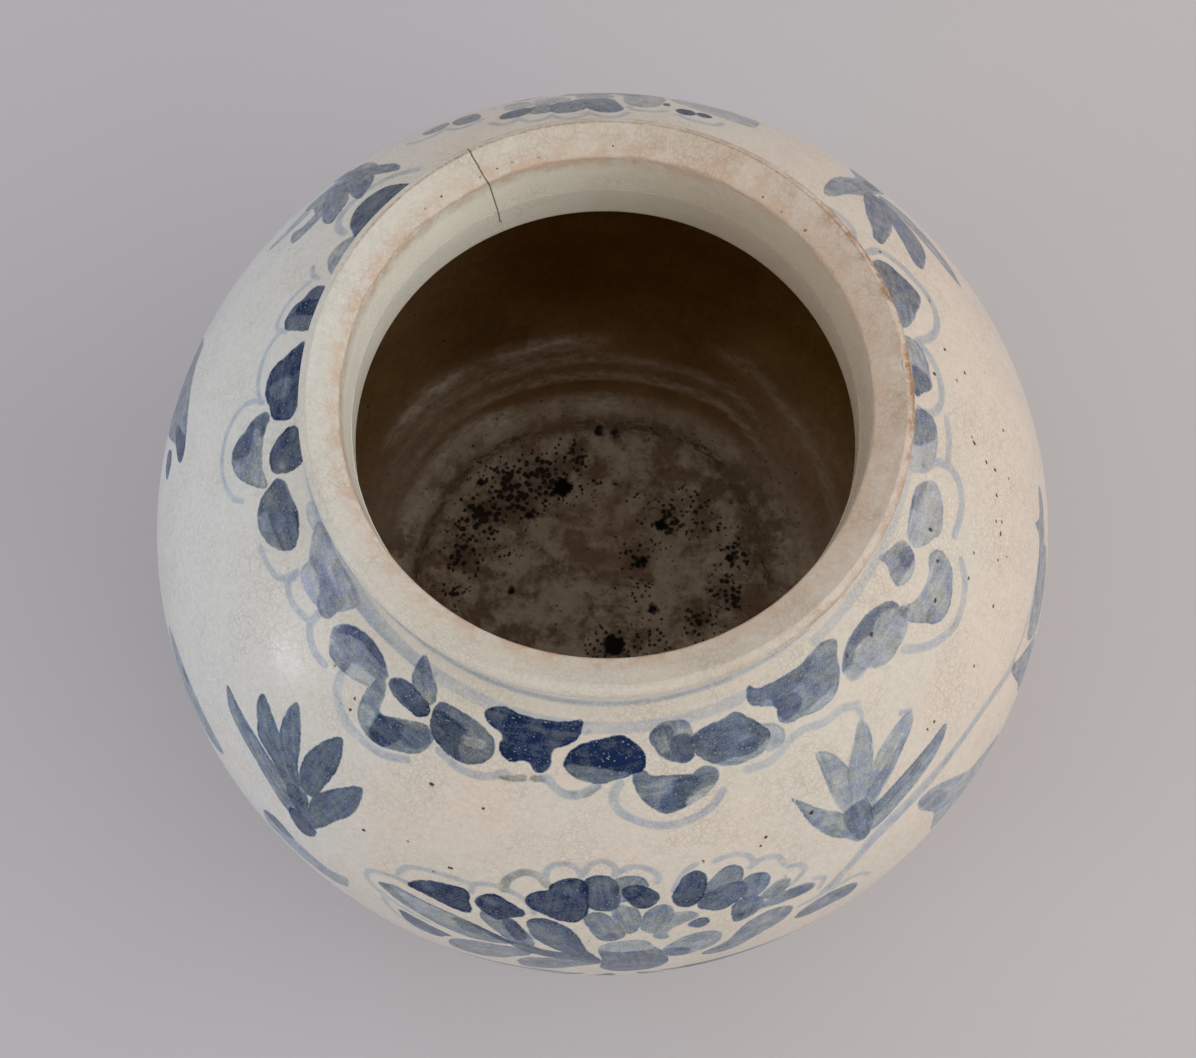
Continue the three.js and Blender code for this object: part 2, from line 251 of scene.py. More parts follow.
PEONY_DABS = """\
crown left 0.9: -98 78.5,-97 74.5,-95.3 73,-95 70,-93.7 67,-92 66,-90.7 68.5,-90.5 79,-90.8 84,-91.8 87.5,
 -93.5 87.5,-95.5 85,-97.3 82.5
+ 0.75: -92.5 71 2.5
crown middle 0.78: -91 70,-90.5 66,-89 64,-87.5 65,-86.7 68,-86.5 75,-87 80,-88.5 80.5,-90 78.5
+ 0.66: -88.5 69 2.6
crown right 0.51: -87 66.5,-85.3 64.7,-83.5 65.5,-82.8 69,-83.5 73,-86 76,-87 73
crown hook 0.89: -85.8 71,-84.3 69,-82.8 70.5,-81.5 74.5,-81.7 77.5,-83 80,-84.5 78
right crown oval 0.84: -79.2 76,-78.3 71,-77.3 67,-76 66.3,-75.2 69,-75.2 74,-76 79,-77.3 82.5,-78.7 81
right crown grey 0.57: -75 75,-73.5 70.5,-72 67.8,-70.6 69,-70.3 72.5,-71 77,-73 80,-75.6 84
+ 0.75: -75 81.5 1.8
right crown heart 0.7: -76 84,-75.5 79,-73 76.5,-70.5 77,-70 82,-71.5 86,-73.5 88.5,-75 86.5
right crown second 0.6: -70.5 78,-69 75.5,-67.5 76.5,-66.9 79.5,-67.5 84,-69 87,-70.5 85
right crown wing 0.62: -71.8 91,-71.3 88,-69.5 87,-68.3 90,-68.5 95,-70 98.5,-71.7 99
+ 0.85: -71 96 2
right crown third 0.48: -68.3 89.5,-67 86,-65.3 84,-64.3 86,-65 89.5,-67 91
right crown spur 0.45: -69 95.5,-67 92.5,-64 92,-62 93.5,-61.2 96.5,-62.5 98,-66 97
+ 0.5: -69 95.5,-67 92.3,-65.5 92,-65.4 97.3,-67 97
+ 0.64: -65 92,-62 93.3,-61.2 96.5,-62.5 98.2,-65 97.4
small bead 0.7: -77.8 94.5,-76.7 91.5,-75.3 92,-75.1 95.5,-76.3 97.5
heart left 0.55: -90.5 86,-89.5 83,-88.2 83.5,-87 88,-86 93,-86 97.5,-87.5 100,-88.8 98,-89.7 92
+ 0.75: -87.2 97 2
+ 0.4: -89.4 86 1.8
heart middle 0.48: -87 80.5,-85.7 79.3,-84.3 81.5,-83.8 86,-84 91,-85 95,-86.3 90
heart right 0.5: -83.2 88,-82.7 83.5,-81.3 80.5,-80 81.5,-79.7 86,-80.5 91,-82 96,-83.3 93
heart end 0.42: -80 87.5,-78.5 86,-77 87.5,-76.7 90,-78.5 92,-80.5 96,-80.5 101,-81.8 98
left navy petal 0.95: -113.3 90,-112.3 86.5,-110.5 83.5,-108 81.8,-106.2 81.3,-105.4 84,-105.4 88,
 -104.9 92,-105.3 95,-107.5 95,-111 93,-113.2 92.5
+ 0.8: -111 88 2.6
left drop 0.93: -104.3 87,-103.7 82.5,-102.2 80.3,-100.5 82.5,-98.6 86,-98.8 88.5,-100.5 91,-101.5 93.5,
 -103 91
+ 0.7: -102.7 84 2.2
left drop tail 0.55: -103.3 91.5,-101.6 94,-100 92,-98.8 96,-97.4 102,-97 109,-98.6 110,-101 103,-103.2 96
+ 0.84: -101 92,-99 93,-98 98,-97.7 104,-99 106,-100.5 98
left inner petal 0.7: -97.8 93,-97.3 89.5,-95.5 88,-93.5 90.5,-91.9 95,-91 101,-90.3 108,-89 115,-88.2 121,
 -90 118,-92 114,-93.5 110.5,-95.5 106,-97 101
+ 0.76: -93.3 91.5,-91.8 95,-90.8 101,-90.1 108,-88.8 115,-90.3 113,-91.8 108,-92.5 100,-93 95
+ 0.85: -97.7 91,-97 88.8,-95.5 87.8,-94 90,-95 91.5
left long petal 0.5: -117.3 100.5,-116 98,-115 96.5,-112 97.5,-107 99.5,-103.5 102.5,-100.5 107,-99 110,
 -101 112.5,-105 114.5,-109 112,-113.5 107.5,-116 103.5
+ 0.35: -114.5 99.5,-110 99.3,-106.5 101,-106.3 107,-107.5 109.5,-112 106
+ 0.65: -107 101,-103.5 103,-103.5 109,-106 108
+ 0.84: -105 100,-102 103,-99 108,-100 110.7,-103 106
+ 0.68: -116.3 99.5 2
left low petal 0.74: -113.7 114,-107.5 119,-107.8 122,-109 127,-111 127.5,-113 123,-113.8 118
left skirt petal 0.49: -107.5 130,-107 123,-105 118,-102 115,-99 113.5,-97 115,-97.5 120,-99 124,-100 128,
 -101.5 133,-104 138,-107 137
+ 0.6: -107.6 128,-105 128,-103.3 133,-104.3 138,-107 137.3
middle skirt petal 0.54: -98.7 132,-98.3 126,-97 121.5,-94.5 119,-91 118.5,-88.3 121,-90 125,-92 129,
 -93.5 134,-95.5 138,-98 140
cup petal 0.66: -88.8 107,-87.5 102,-85 100.5,-83 102,-82 107,-81 112,-80.3 120,-80.5 128,-82 135,-84.5 138,
 -87 135.5,-88.5 128,-88.3 118
+ 0.35: -89 107,-87.5 101.7,-85 100.2,-83 101.7,-81.9 107,-83 109.5,-87 109.7
right cup petal 0.4: -81 111,-79.5 105,-77.5 101.5,-75 102,-73.6 106,-74 113,-76 118,-78.5 120,-80.5 117
+ 0.66: -80.7 110.5,-79 111,-77.5 114,-78 119.5,-80.3 119
right long petal 0.5: -76 122,-73 115,-71.5 108,-70 103,-67.5 100,-65 102,-64.3 106.5,-65.5 112.5,-68 117,
 -70 121,-72 126.5,-74.5 127
+ 0.4: -68 106 4
+ 0.68: -73.4 120 3
right outer petal 0.55: -64 117,-63 111.5,-60.5 109,-57.5 110,-55.5 114,-55.2 119,-56.5 123.5,-59 121.5,
 -62 120.5
+ 0.42: -60 114 3
petal root 0.7: -100 109.5,-98 108,-95.5 111,-92 112.5,-90 114,-88.3 119,-89.3 122,-92 119.5,-95 118,
 -98 115
"""

SPRAY_DABS = """\
front right leaf 0.46: -61 49,-57.5 60,-55 67,-53.5 78,-54 86,-55.5 80,-57.5 74,-59.5 64,-60.5 54
front right middle leaf 0.36: -55 38,-53 42,-51.8 52,-53 63,-53.8 69,-54.5 69,-55.4 60,-55.5 42
front right tall leaf 0.36: -47 38,-46.3 43,-47.5 52,-49.8 63,-51.8 75,-53 71,-53.5 64,-52 52,-49.5 44
front right long leaf 0.34: -39.8 50.5,-40 55,-43 60,-46.5 66,-49.5 71,-51.5 76,-52 72,-51.5 66,-48 56,
 -44 51
+ 0.48: -40 57,-43 57.5,-46 60,-49.5 63,-51.5 67,-50.5 71,-47 66,-43.5 60.7
front right low leaf 0.44: -36 70,-38 75,-42 79,-47 82,-52 84.5,-52 75,-49 72.5,-44 70.5,-38 69.3
+ 0.56: -36.3 70,-40 73.5,-45 76,-51.5 79,-52 75,-44 70.5
front right root 0.6: -55 68,-51.2 68,-51.3 80,-53 86.5,-54.5 82
+ 0.64: -54.6 80,-52 80,-52.3 84,-53.2 87,-54.4 84
front left tall leaf 0.78: 230.7 46.5,232 52,232.3 60,231.7 70,231 78,229 79,227.6 70,227.8 60,229 52
front left leaf 0.7: 222.3 49.5,224.5 55,226.3 64,227.3 72,229.5 81,226 76,223 68,222.3 63,221.8 56
front left outer leaf 0.7: 217.5 60,221 64,224 69,227 75,230 84,229 88,224 80.5,220.3 77,219 72,217.5 66
front left low leaf 0.56: 212.3 75.5,215 76.5,220 78.5,225 82,228 86,230.5 93,228.5 97.5,225 93.5,221 88.5,
 217 85.5,214 82
+ 0.62: 212 75.3,215 76,220 78.2,225 81.7,227.5 85.3,224 83.5,219 80.3,214.5 78.3
front left near leaf 0.75: 236.7 58.5,237.2 65,236.7 73,235 81,233.5 90,232 95,231 87,231 78,232.5 70,
 234.5 63
front left middle leaf 0.78: 227 82,230 80,231 86,232 93,229.5 92,227.5 88
front left root 0.84: 228.5 94,230 92,232.7 94,232.9 99,231.5 103.3,229.8 102,228.6 98
left front low leaf 0.41: 224.6 117,225.5 113.5,227.5 112,230 115,233 117,236 117,238.3 113.5,238.6 118,
 238 125,234 131,226 131,224.6 122
+ 0.66: 224.4 117,225.5 113.3,227.5 111.8,230 115,229 118.5,226 121
left low leaf 0.48: 198 113,199 109,204 106.5,210 108,216 112,213 122,206 126,200 120
+ 0.78: 205 110 3
+ 0.45: 207 107,211 108.2,216.2 111.8,214 114.5,209 112.5
right low leaf 0.37: -44.4 91,-42.5 91,-40 95,-37.5 102,-35.5 108.5,-33 112.5,-30.5 116.5,-28 123,-30 131,
 -36 133,-42 131,-42.8 120,-42.5 110,-43.4 103,-44.5 97
+ 0.48: -44.6 91.3,-42.3 92,-40.5 99,-39.5 106,-42 106,-43.8 99
right low pointed leaf 0.45: -22.8 93,-21 96,-19 101,-16.5 108,-15 114,-17 120,-22 120,-22.3 110,-22.8 100
right thorned leaf 0.43: -17.5 99,-15.5 95,-10 92,-5 89.5,-3.8 83,-2.2 88,1 87,2.3 89,1.5 92,-1.5 96,
 -4.5 99,-4.5 104,-8 112,-14 113,-16.5 106
left big leaf 0.55: 161.5 86,162 84,166 81.5,170 77,174 73,178 71,180 72.5,179.8 76,178 79.5,176.5 83,
 175.5 88,174 97,172 106,168 116,163 124,159 127,157.5 124,158 113,159 101,160.3 91
+ 0.85: 173.5 85,175 78,177 71.5,180 72.5,179.2 78,176.5 81.7,174.5 86
left small lobe 0.74: 176.5 91,177.2 87,179 85.5,180.7 88.5,180.3 91,178.5 93.5,176.5 93.5
back right outer leaf 0.6: 33 42.5,34 40,37 42,41 46,45 50,48 56,47 61,42 59.5,38 57,35.5 52,33.8 46
back right leaf 0.6: 38.8 29.5,40.3 28,42 31.5,45 37,47 43,48.5 49,49 58,46 60,43 50,40.8 42,39.5 34
back right low leaf 0.46: 30.3 66.5,32.5 63.5,36 61.5,42 60.5,47 60,48 66,45 70,40 71.5,35 71,32 69
back right upright leaf 0.49: 50.5 30,51.5 27.5,52.5 30,53.3 38,53.4 46,52.8 54,52.3 62,54 70,54.5 76,
 49 76,48.5 66,48.5 50,49.7 40
back left leaf 0.6: 127 36.5,129.5 44,130.5 50,131 60,131 72,128.5 72,129.2 66,129 58,127.5 50,126.3 42
back left middle leaf 0.62: 134.8 36,135.2 40,134.7 46,134 56,132 66,130.5 66,130 50,130.3 44,132 39.5
back left outer leaf 0.58: 141 37,141.3 42,140 48,138 56,135 66,133.5 66,134.5 50,136 42,139 38.5
back left heap 0.5: 129 48,140 48,140 54,139 61,139 70,134 72,128.5 73
back left lobe 0.5: 140 48,144.5 48.5,146 51,145.5 54,144 58,142.5 54.5,140 54
back left wisp 0.36: 140 61,144 63,147 68,146.5 70,144 68,139 68
back left low leaf 0.5: 127.5 92,131 98,136 105,141 110,145 115,139 117.5,132 115,127.5 108.5,125.5 99,126 94
far petal 0.34: 68.5 55,69.5 51.5,72 50.5,76 52,79 55,81 59,82 66,80 72,70 72,68.7 62
far bead 0.95: 75 47.5,76 44.5,77.3 45.5,77.3 49,76.3 50.3
far second bead 0.97: 77.5 46,78.3 42.8,80 43,80.7 46.5,80 49.5,78.2 49.5
far small bead 0.95: 81.8 51,82.2 49.7,82.8 51,82.7 54,82 54.7
far middle petal 0.38: 83 52,84 46,85.8 43.8,87.8 45.5,88.8 50,88.8 60,88.5 68,83.5 68,82.8 58
far crown 0.66: 89.2 40,90 36.8,91.5 36,93 37.5,94.3 41.5,94.7 48,96 53,94 54,91 53,90 47
far second crown 0.62: 94.8 48,94.9 42,96 38.5,98 37.5,99.7 39,100 44,99.5 49,97.5 50.5,96 52
far third crown 0.56: 99.8 42,101 40.5,103 41,103.5 45,103 49,100.5 49.5
far fourth crown 0.72: 103.5 45,104.5 42.5,106.5 41.5,108 43.5,107.5 47.5,105.5 50,103.8 49.5
far low petal 0.42: 90.5 56,93 55.3,95.7 56,95.5 66,93 70,90.7 66
far second low petal 0.35: 97 52,99.5 51,102.3 52,102 62,99.5 66,97.3 62
far third low petal 0.34: 102.6 53,104.7 52,106.8 53,106.5 62,104.7 65,103 61
far right petal 0.66: 110.5 57,111 51.5,112.3 50,113.8 51,114.6 55,114.5 62,113 66,111 65
far outer petal 0.54: 115 62,116 57.5,117.5 56,118.9 58,119.2 63,118 67,115.5 67
"""

# Strokes of the liner brush: a strength and a half width in millimetres, then the points that
# each line of that kind passes.
LINES = """\
0.24 1.5:
+ -135 26,-134 33,-131.5 38,-128 41,-123 41.5,-119 38
+ -86 27,-87 31,-86.5 36,-84 40.5,-80 44,-76 43.5,-72.5 40.5,-70.5 36
+ -14 31,-9 31.5,-5.5 29,-3.5 24,-3.5 18,-5 13
0.24 1.4:
+ -115 29,-111 32,-107 31.5,-104 28
+ 5 12,5.5 17,8 21.5,12 23,16 21.5,19 17.5
0.26 1.5:
+ -97.5 26.5,-95 31,-92.5 31.5,-89.7 28
+ 19.3 18,19.8 24,21.5 30,24.5 34,27.5 35,31 33,35 29.5,37.7 25,38 19
+ 125 28,127.5 33,131 37,135 38,139 36,141.5 31,142.2 25
0.2 1.4:
+ -66 31.5,-62 32,-58 28.5,-55 28,-52 30,-48.5 30,-46 33
0.22 1.5:
+ -34.5 32,-32 38,-29 43,-25 46,-20 43,-17 37
0.24 1.3:
+ -2.5 23,2 23.5,5 23
0.24 0.9:
+ 152 20,151.5 24,150 27
+ 153 23,155 26,158.5 28.5,162 28,163 22
+ 162.5 24,165 27.5,169 29,173 28,175 26
0.24 1:
+ 176 24,175.3 29,176 35,178.5 40,182 43,186 43,190 39,191.5 34
+ -46.3 34.5,-46.2 36.5,-46.4 38
+ -41 48.3,-40.3 49.5,-39.5 51
0.24 1.1:
+ 200 30.5,204 29.5,206.5 27,207.5 22
+ -91.3 64,-90 58.5,-88.5 57,-87 59,-86.7 62.5
+ -87 63.5,-85 60,-83 60.5,-81.3 64,-81.2 68
+ -115 88,-114 82,-111 78.5,-107 77.5,-105.3 78.5
+ -105.3 82,-105 77,-102.5 75,-99.5 77,-97.5 82,-97 86
+ -119 101,-118.7 96,-116 92,-112.5 90.5
+ -79.2 73,-78 66,-76 62.5
+ 73 44,74 39,78 38,80 41
+ 82 43,84 40,87 39.5,88 43
+ 88 36,89.5 31.5,92 31,93.8 34
+ 94.3 36,96 31.5,98.5 31,100 34
+ 100.3 36,102 33,104 33,105.5 37
+ 105.6 40,107 36,109 37,110 42
+ 110.5 50,112.5 47,115 48,116 53
+ 116.3 55,118.5 52,121 54,122 59
0.26 1.3:
+ 207.5 20,208 25,211 27,214.5 25.5
0.26 1.4:
+ 215.5 20,216 26,219 30,222 30.5
0.26 1.1:
+ -96 69,-95.8 62,-94 59,-92 60.5,-91.3 64
0.22 1.1:
+ -119 101,-118 105,-115 109.5,-110 113.5
+ -73.5 63,-71 62.5,-69 65,-68.3 69.5
+ -69 71,-67 69,-65 71,-64.5 76
+ -64 78,-62.5 80,-62 84,-64 89
+ -61 92,-59.7 95,-60.5 100
+ -63.5 107,-59 106,-55 108,-53.3 115
0.2 1.1:
+ -116.5 106,-116 114,-114 122,-111 129
0.2 1:
+ -60 112,-56 97,-51 87,-40 84,-30 86,-20 92,-8 92
0.3 2:
+ -143 6,-135 6,-128 6.2,-121 6.6
0.17 1.9:
+ -122 6.5,-115 7,-100 8,-88 8,-76 8,-63 7.5
0.32 1.2:
+ -142 5,-134 5.2,-127 5.5,-120 6,-114 6.4
0.21 0.9:
+ -141 4.5,-128 5,-115 5.5,-104 6.5,-88 7,-76 7.5,-63 7
0.14 1.6:
+ -46 5,-34 4.5,-20 5,-6 6
0.24 1.6:
+ 189 4,200 3.5,212 3,224 4.5,236 6
0.26 1.8:
+ -60 105,-56 97,-52 91,-47 88,-42 86.5,-36 85,-30 86,-25 90,-22 93
0.15 1.4:
+ 225 26,226 32,228 38,231 41.5,235 41
"""

# Lines where the blue fired to a brownish grey.
GREY_LINES = """\
0.46 1.3:
+ -104.3 29.5,-102.5 29.2,-101 28
+ -99.5 27.5,-98.5 27.2,-97.5 27
0.4 1.5:
+ -93.5 31.5,-91.5 30.8,-89.5 28
0.38 1:
+ -92 9.5,-90.7 9,-89.5 9
0.4 1.7:
+ -101.3 76,-100.8 70,-98.9 65.5,-97 66,-95.6 70
"""

# Pits and burnt specks large enough to have a place of their own, with their radius.
SPECKS = (
    "-106 43 0.5, -136.5 28 0.6, -130.7 31 0.5, -130.3 35.5 0.5, -114.2 42 0.7, -108.5 73 0.7, "
    "-115 69 0.5, -121 76 0.6, -75 62 0.6, -66 60 0.6, -67 63 0.5, -64.5 83 0.6, -59 59 0.8, "
    "-39 63.5 0.6, -37.4 63.7 0.6, -27.7 65.5 0.5, -18.5 43.3 0.6, -14.6 42.2 0.6, -15.7 57 0.5, "
    "-13 56.5 0.5, -11 56.6 0.5, -11.7 61 0.5, -9.3 55 0.6, -7.6 54.5 0.6, -8 51.2 0.5, -4.2 50 0.6, "
    "-1.7 59 0.5, -0.6 58 0.5, 0 43.3 0.6, -0.5 48.5 0.6, 2.3 36.7 0.6, 3.2 35.8 0.5, 14.2 38 0.6, "
    "17.9 30.6 0.6, 27 34.5 0.6, 37.6 25 0.6, 15.2 51.5 0.5, 6.5 56 0.5, -19.1 61.5 0.6, -37 18 0.7, "
    "-42.8 16.5 0.7, -25 32.7 0.7, -19.5 27 0.7, -15.5 20 0.7, -62.5 21.5 0.6, 13 21 0.6, 12.5 32 0.6, "
    "-110.5 78 0.5")

# Stains of the glaze and of the blue: azimuth, depth, reach, pinkish blush, and brown in the
# blue, which is lilac where it is below zero.
STAINS = [
    (-1, 58, 16, 0.7, 0), (-14, 60, 11, 0.7, 0), (-26, 66, 9, 0.9, 0), (-35, 59, 8, 0.9, 0),
    (13, 52, 18, 0.7, 0), (20, 30, 12, 0.5, 0), (-18, 38, 13, -0.6, 0), (-38, 38, 10, -0.3, 0),
    (222, 18, 9, 0, -0.9), (210, 12, 11, 0, -0.8), (198, 6, 8, 0, -0.6),
    (-106, 44, 15, 0.5, 0), (-88, 58, 14, 0.35, 0), (-72, 52, 18, 0.3, 0), (-64, 118, 22, 0.45, 0),
    (30, 60, 26, 0.7, 0), (-24, 84, 24, 0.4, 0), (60, 50, 24, 0.35, 0), (-116, 60, 16, 0.3, 0),
    (170, 40, 40, -0.6, 0), (196, 60, 36, -0.6, 0), (150, 60, 34, -0.4, 0), (222, 40, 20, -0.3, 0),
    (-84, 88, 14, 0, 0.25), (-22, 14, 8, 0, 0.25), (189, 14, 5, 0, 0.8), (-112, 20, 10, 0, 0.5),
    (-77, 15, 10, 0, 0.35), (34, 20, 14, 0, 0.7), (-38, 22, 12, 0, 0.2), (80, 48, 16, 0, 0.6),
]

# Marks inside the jar. A throwing ring is painted lighter where its strength is above zero, a painted sheen
# along its ridge, and darker where it is below zero, where the wash has pooled in it: azimuths it runs
# between, its radius, half width and strength.
RING_SHEEN_AND_POOLS = [
    (116, 146, 114.2, 1.7, 1.0), (88, 118, 114.2, 1.7, 0.5), (88, 148, 112.5, 4.5, 0.2),
    (8, 72, 118, 1.7, 0.35),
    (46, 155, 108.4, 1.5, 0.3), (40, 150, 103.4, 1.7, 0.42), (110, 168, 94, 4.2, 2.0),
    (78, 116, 93.6, 3.2, 0.7), (10, 84, 93.6, 3.4, 0.28), (104, 124, 122, 2.5, -0.8),
    (-180, 180, 86.8, 3.4, -0.95), (-180, 180, 100.6, 1.2, -0.3), (-180, 180, 72, 9, 0.2),
]

# Dark grit burnt into the floor: place across and along, radius and strength.
GRIT = [
    (-61, 12, 8, 0.7), (-57, 28, 11, 0.85), (-50, 44, 13, 1.0), (-39, 56, 14, 1.0), (-26, 62, 13, 1.0),
    (-14, 72, 10, 0.7), (-8, 60, 8, 0.6), (-44, 28, 9, 0.5), (16, 55, 7, 0.5), (27, 46, 10, 0.95),
    (38, 55, 8, 0.7), (46, 44, 8, 0.6), (55, 31, 9, 0.8), (52, 15, 10, 0.8), (42, 2, 9, 0.7),
    (16, 30, 9, 0.75), (15, 14, 9, 0.6), (22, -4, 10, 0.7), (6, -10, 10, 0.95), (-20, 4, 8, 0.3),
]
SOOT = [
    (-17, 59, 4.6), (-31, 47, 2.6), (24, 44, 3.2), (-59, 22, 2.2), (-41, 21, 2.2), (16, 27, 3.4),
    (-6, 31, 2.0), (53, 31, 2.4), (49, 57, 2.4), (-3, 84, 2.6), (4, 83, 2.0), (6, -8, 4.8),
    (22, 8, 2.8), (-36, 13, 2.0), (5, 62, 1.8), (-51, 60, 2.0),
]

# The fired crack through the lip and throat: azimuth, and millimetres along the clay from the
# lip's outer corner.
CRACK = [
    (119.8, -6), (119.6, -1), (119.7, 2), (119.4, 5), (119.3, 8), (119.0, 11), (118.6, 14),
    (118.3, 19), (118.0, 24), (117.6, 30), (117.4, 36), (117.1, 44),
]

# How rusty the edge of the lip is, by azimuth, and pits on its face: azimuth, millimetres in
# from the corner, and radius.
RUST = [
    (-180, 0.0), (-100, 0.0), (-75, 0.15), (-60, 0.2), (-45, 0.35), (-30, 0.3), (-12, 0.4), (2, 0.9),
    (10, 0.9), (16, 0.55), (25, 1.0), (34, 0.9), (40, 0.95), (48, 0.6), (70, 0.4), (95, 0.35),
    (118, 0.4), (126, 0.3), (140, 0.05), (180, 0.0),
]
LIP_PITS = "133.8 8 0.6, 129.4 8 0.6, 119.9 9 0.7, 116 8.6 0.6, 112.5 8.3 0.6, 106.6 9.3 0.5, " \
    "90.5 8 0.5, 55.8 9.3 0.6, 50.5 9.8 0.6, 44 9 0.7, 20 6 0.4, -12 7 0.4, -70 5 0.4, 150 6 0.4"


def places(text):
    """Rows of numbers from a written list."""
    return [tuple(float(number) for number in entry.split()) for entry in text.split(",")]


def written_dabs(text):
    """Name, strength, outline and strokes of each dab in a written list."""
    dabs = []
    for row in text.replace("\n ", " ").splitlines():
        head, course = row.split(":")
        name, strength = head.rsplit(" ", 1)
        if name == "+":
            dabs[-1][3].append((float(strength), places(course)))
        else:
            dabs.append((name, float(strength), places(course), []))
    return dabs


def written_lines(text):
    """Strength, half width and points of each line in a written list."""
    lines = []
    for row in text.replace("\n ", " ").splitlines():
        if row.startswith("+"):
            lines.append((*kind, places(row[1:])))
        else:
            kind = places(row[:-1])[0]
    return lines


# Outline of the jar

def measured(context):
    """The sizes in millimetres, which outlines are written in."""
    sizes = context.scene.jar_sizes
    return SimpleNamespace(**{name: getattr(sizes, name) / MM for name in sizes.__annotations__
                              if name != "columns"})


def run_along(points):
    """How far along a line each of its points lies."""
    return np.concatenate([[0], np.cumsum(np.hypot(*np.diff(points, axis=0).T))])


def signed(turn):
    """An angle in degrees as one between half a turn back and half a turn on."""
    return (turn + 180) % 360 - 180


class Wall:
    """The egg-shaped outer wall from the neck to the foot, measured by depth along the clay."""

    def __init__(self, sizes):
        self.belly, self.seam = sizes.belly_radius, sizes.belly_height
        neck, foot = (sizes.neck_radius, sizes.neck_height), (sizes.foot_radius, sizes.foot_height)
        self.rise = self.half_height(*neck)
        self.fall = self.half_height(*foot)
        upper = np.linspace(math.asin((neck[1] - self.seam) / self.rise) + 0.06, 0, 2400)
        lower = np.linspace(0, -math.asin((self.seam - foot[1]) / self.fall) - 0.03, 2400)[1:]
        radii = self.belly * np.cos(np.concatenate([upper, lower]))
        heights = self.seam + np.concatenate([self.rise * np.sin(upper), self.fall * np.sin(lower)])
        run = run_along(np.stack([radii, heights], axis=1))
        run -= np.interp(-neck[1], -heights, run)
        self.run, self.radii, self.heights = run, radii, heights
        self.seam_depth = float(np.interp(-self.seam, -heights, run))
        self.foot_depth = float(np.interp(-foot[1], -heights, run))

    def half_height(self, radius, height):
        """Half height of the ellipse that passes through a radius at a height."""
        return abs(height - self.seam) / math.sqrt(1 - (radius / self.belly) ** 2)

    def radius(self, depth):
        """Outer radius at a depth."""
        return np.interp(depth, self.run, self.radii)

    def outline(self, depths):
        """Outline points, as radius and height, at these depths."""
        return np.stack([self.radius(depths), np.interp(depths, self.run, self.heights)], axis=1)


def ellipse_points(radius, rise, centre, angles):
    """Points of an ellipse about the axis, with angles from the horizontal."""
    return np.stack([radius * np.cos(angles), centre + rise * np.sin(angles)], axis=1)


def straight(start, end, count):
    """Points of a straight line."""
    return np.array(start, float) + np.linspace(0, 1, count)[:, None] * np.subtract(end, start)


def bent(start, pull, end, count):
    """A curve from start to end that leaves and arrives along the lines to pull."""
    t = np.linspace(0, 1, count)[:, None]
    first, last = straight(start, pull, count), straight(pull, end, count)
    return first + t * (last - first)


def swept(start, first_pull, second_pull, end, count):
    """A curve from start to end with two pulls."""
    t = np.linspace(0, 1, count)[:, None]
    first = bent(start, first_pull, second_pull, count)
    return first + t * (bent(first_pull, second_pull, end, count) - first)


def respaced(points, count):
    """The same line with its points evenly spaced."""
    run = run_along(points)
    even = np.linspace(0, run[-1], count)
    return np.stack([np.interp(even, run, points[:, 0]), np.interp(even, run, points[:, 1])], axis=1)


def tangent_at_height(radius, rise, centre, angle, height):
    """Where the tangent of an ellipse meets a horizontal line."""
    touch = (radius * math.cos(angle), centre + rise * math.sin(angle))
    slope = (-radius * math.sin(angle), rise * math.cos(angle))
    return (touch[0] + slope[0] * (height - touch[1]) / slope[1], height)


def unevenness(azimuth, height, most):
    """How far the hand-turned clay stands in from its true curve, never out."""
    swing = 0.5 + 0.20 * np.sin(2 * azimuth + 0.4) + 0.12 * np.sin(3 * azimuth + height / 31)
    swing = swing + 0.11 * np.sin(height / 9.5 + 0.8 * np.sin(azimuth))
    return most * (swing + 0.07 * np.sin(5 * azimuth - height / 23))


# Meshes

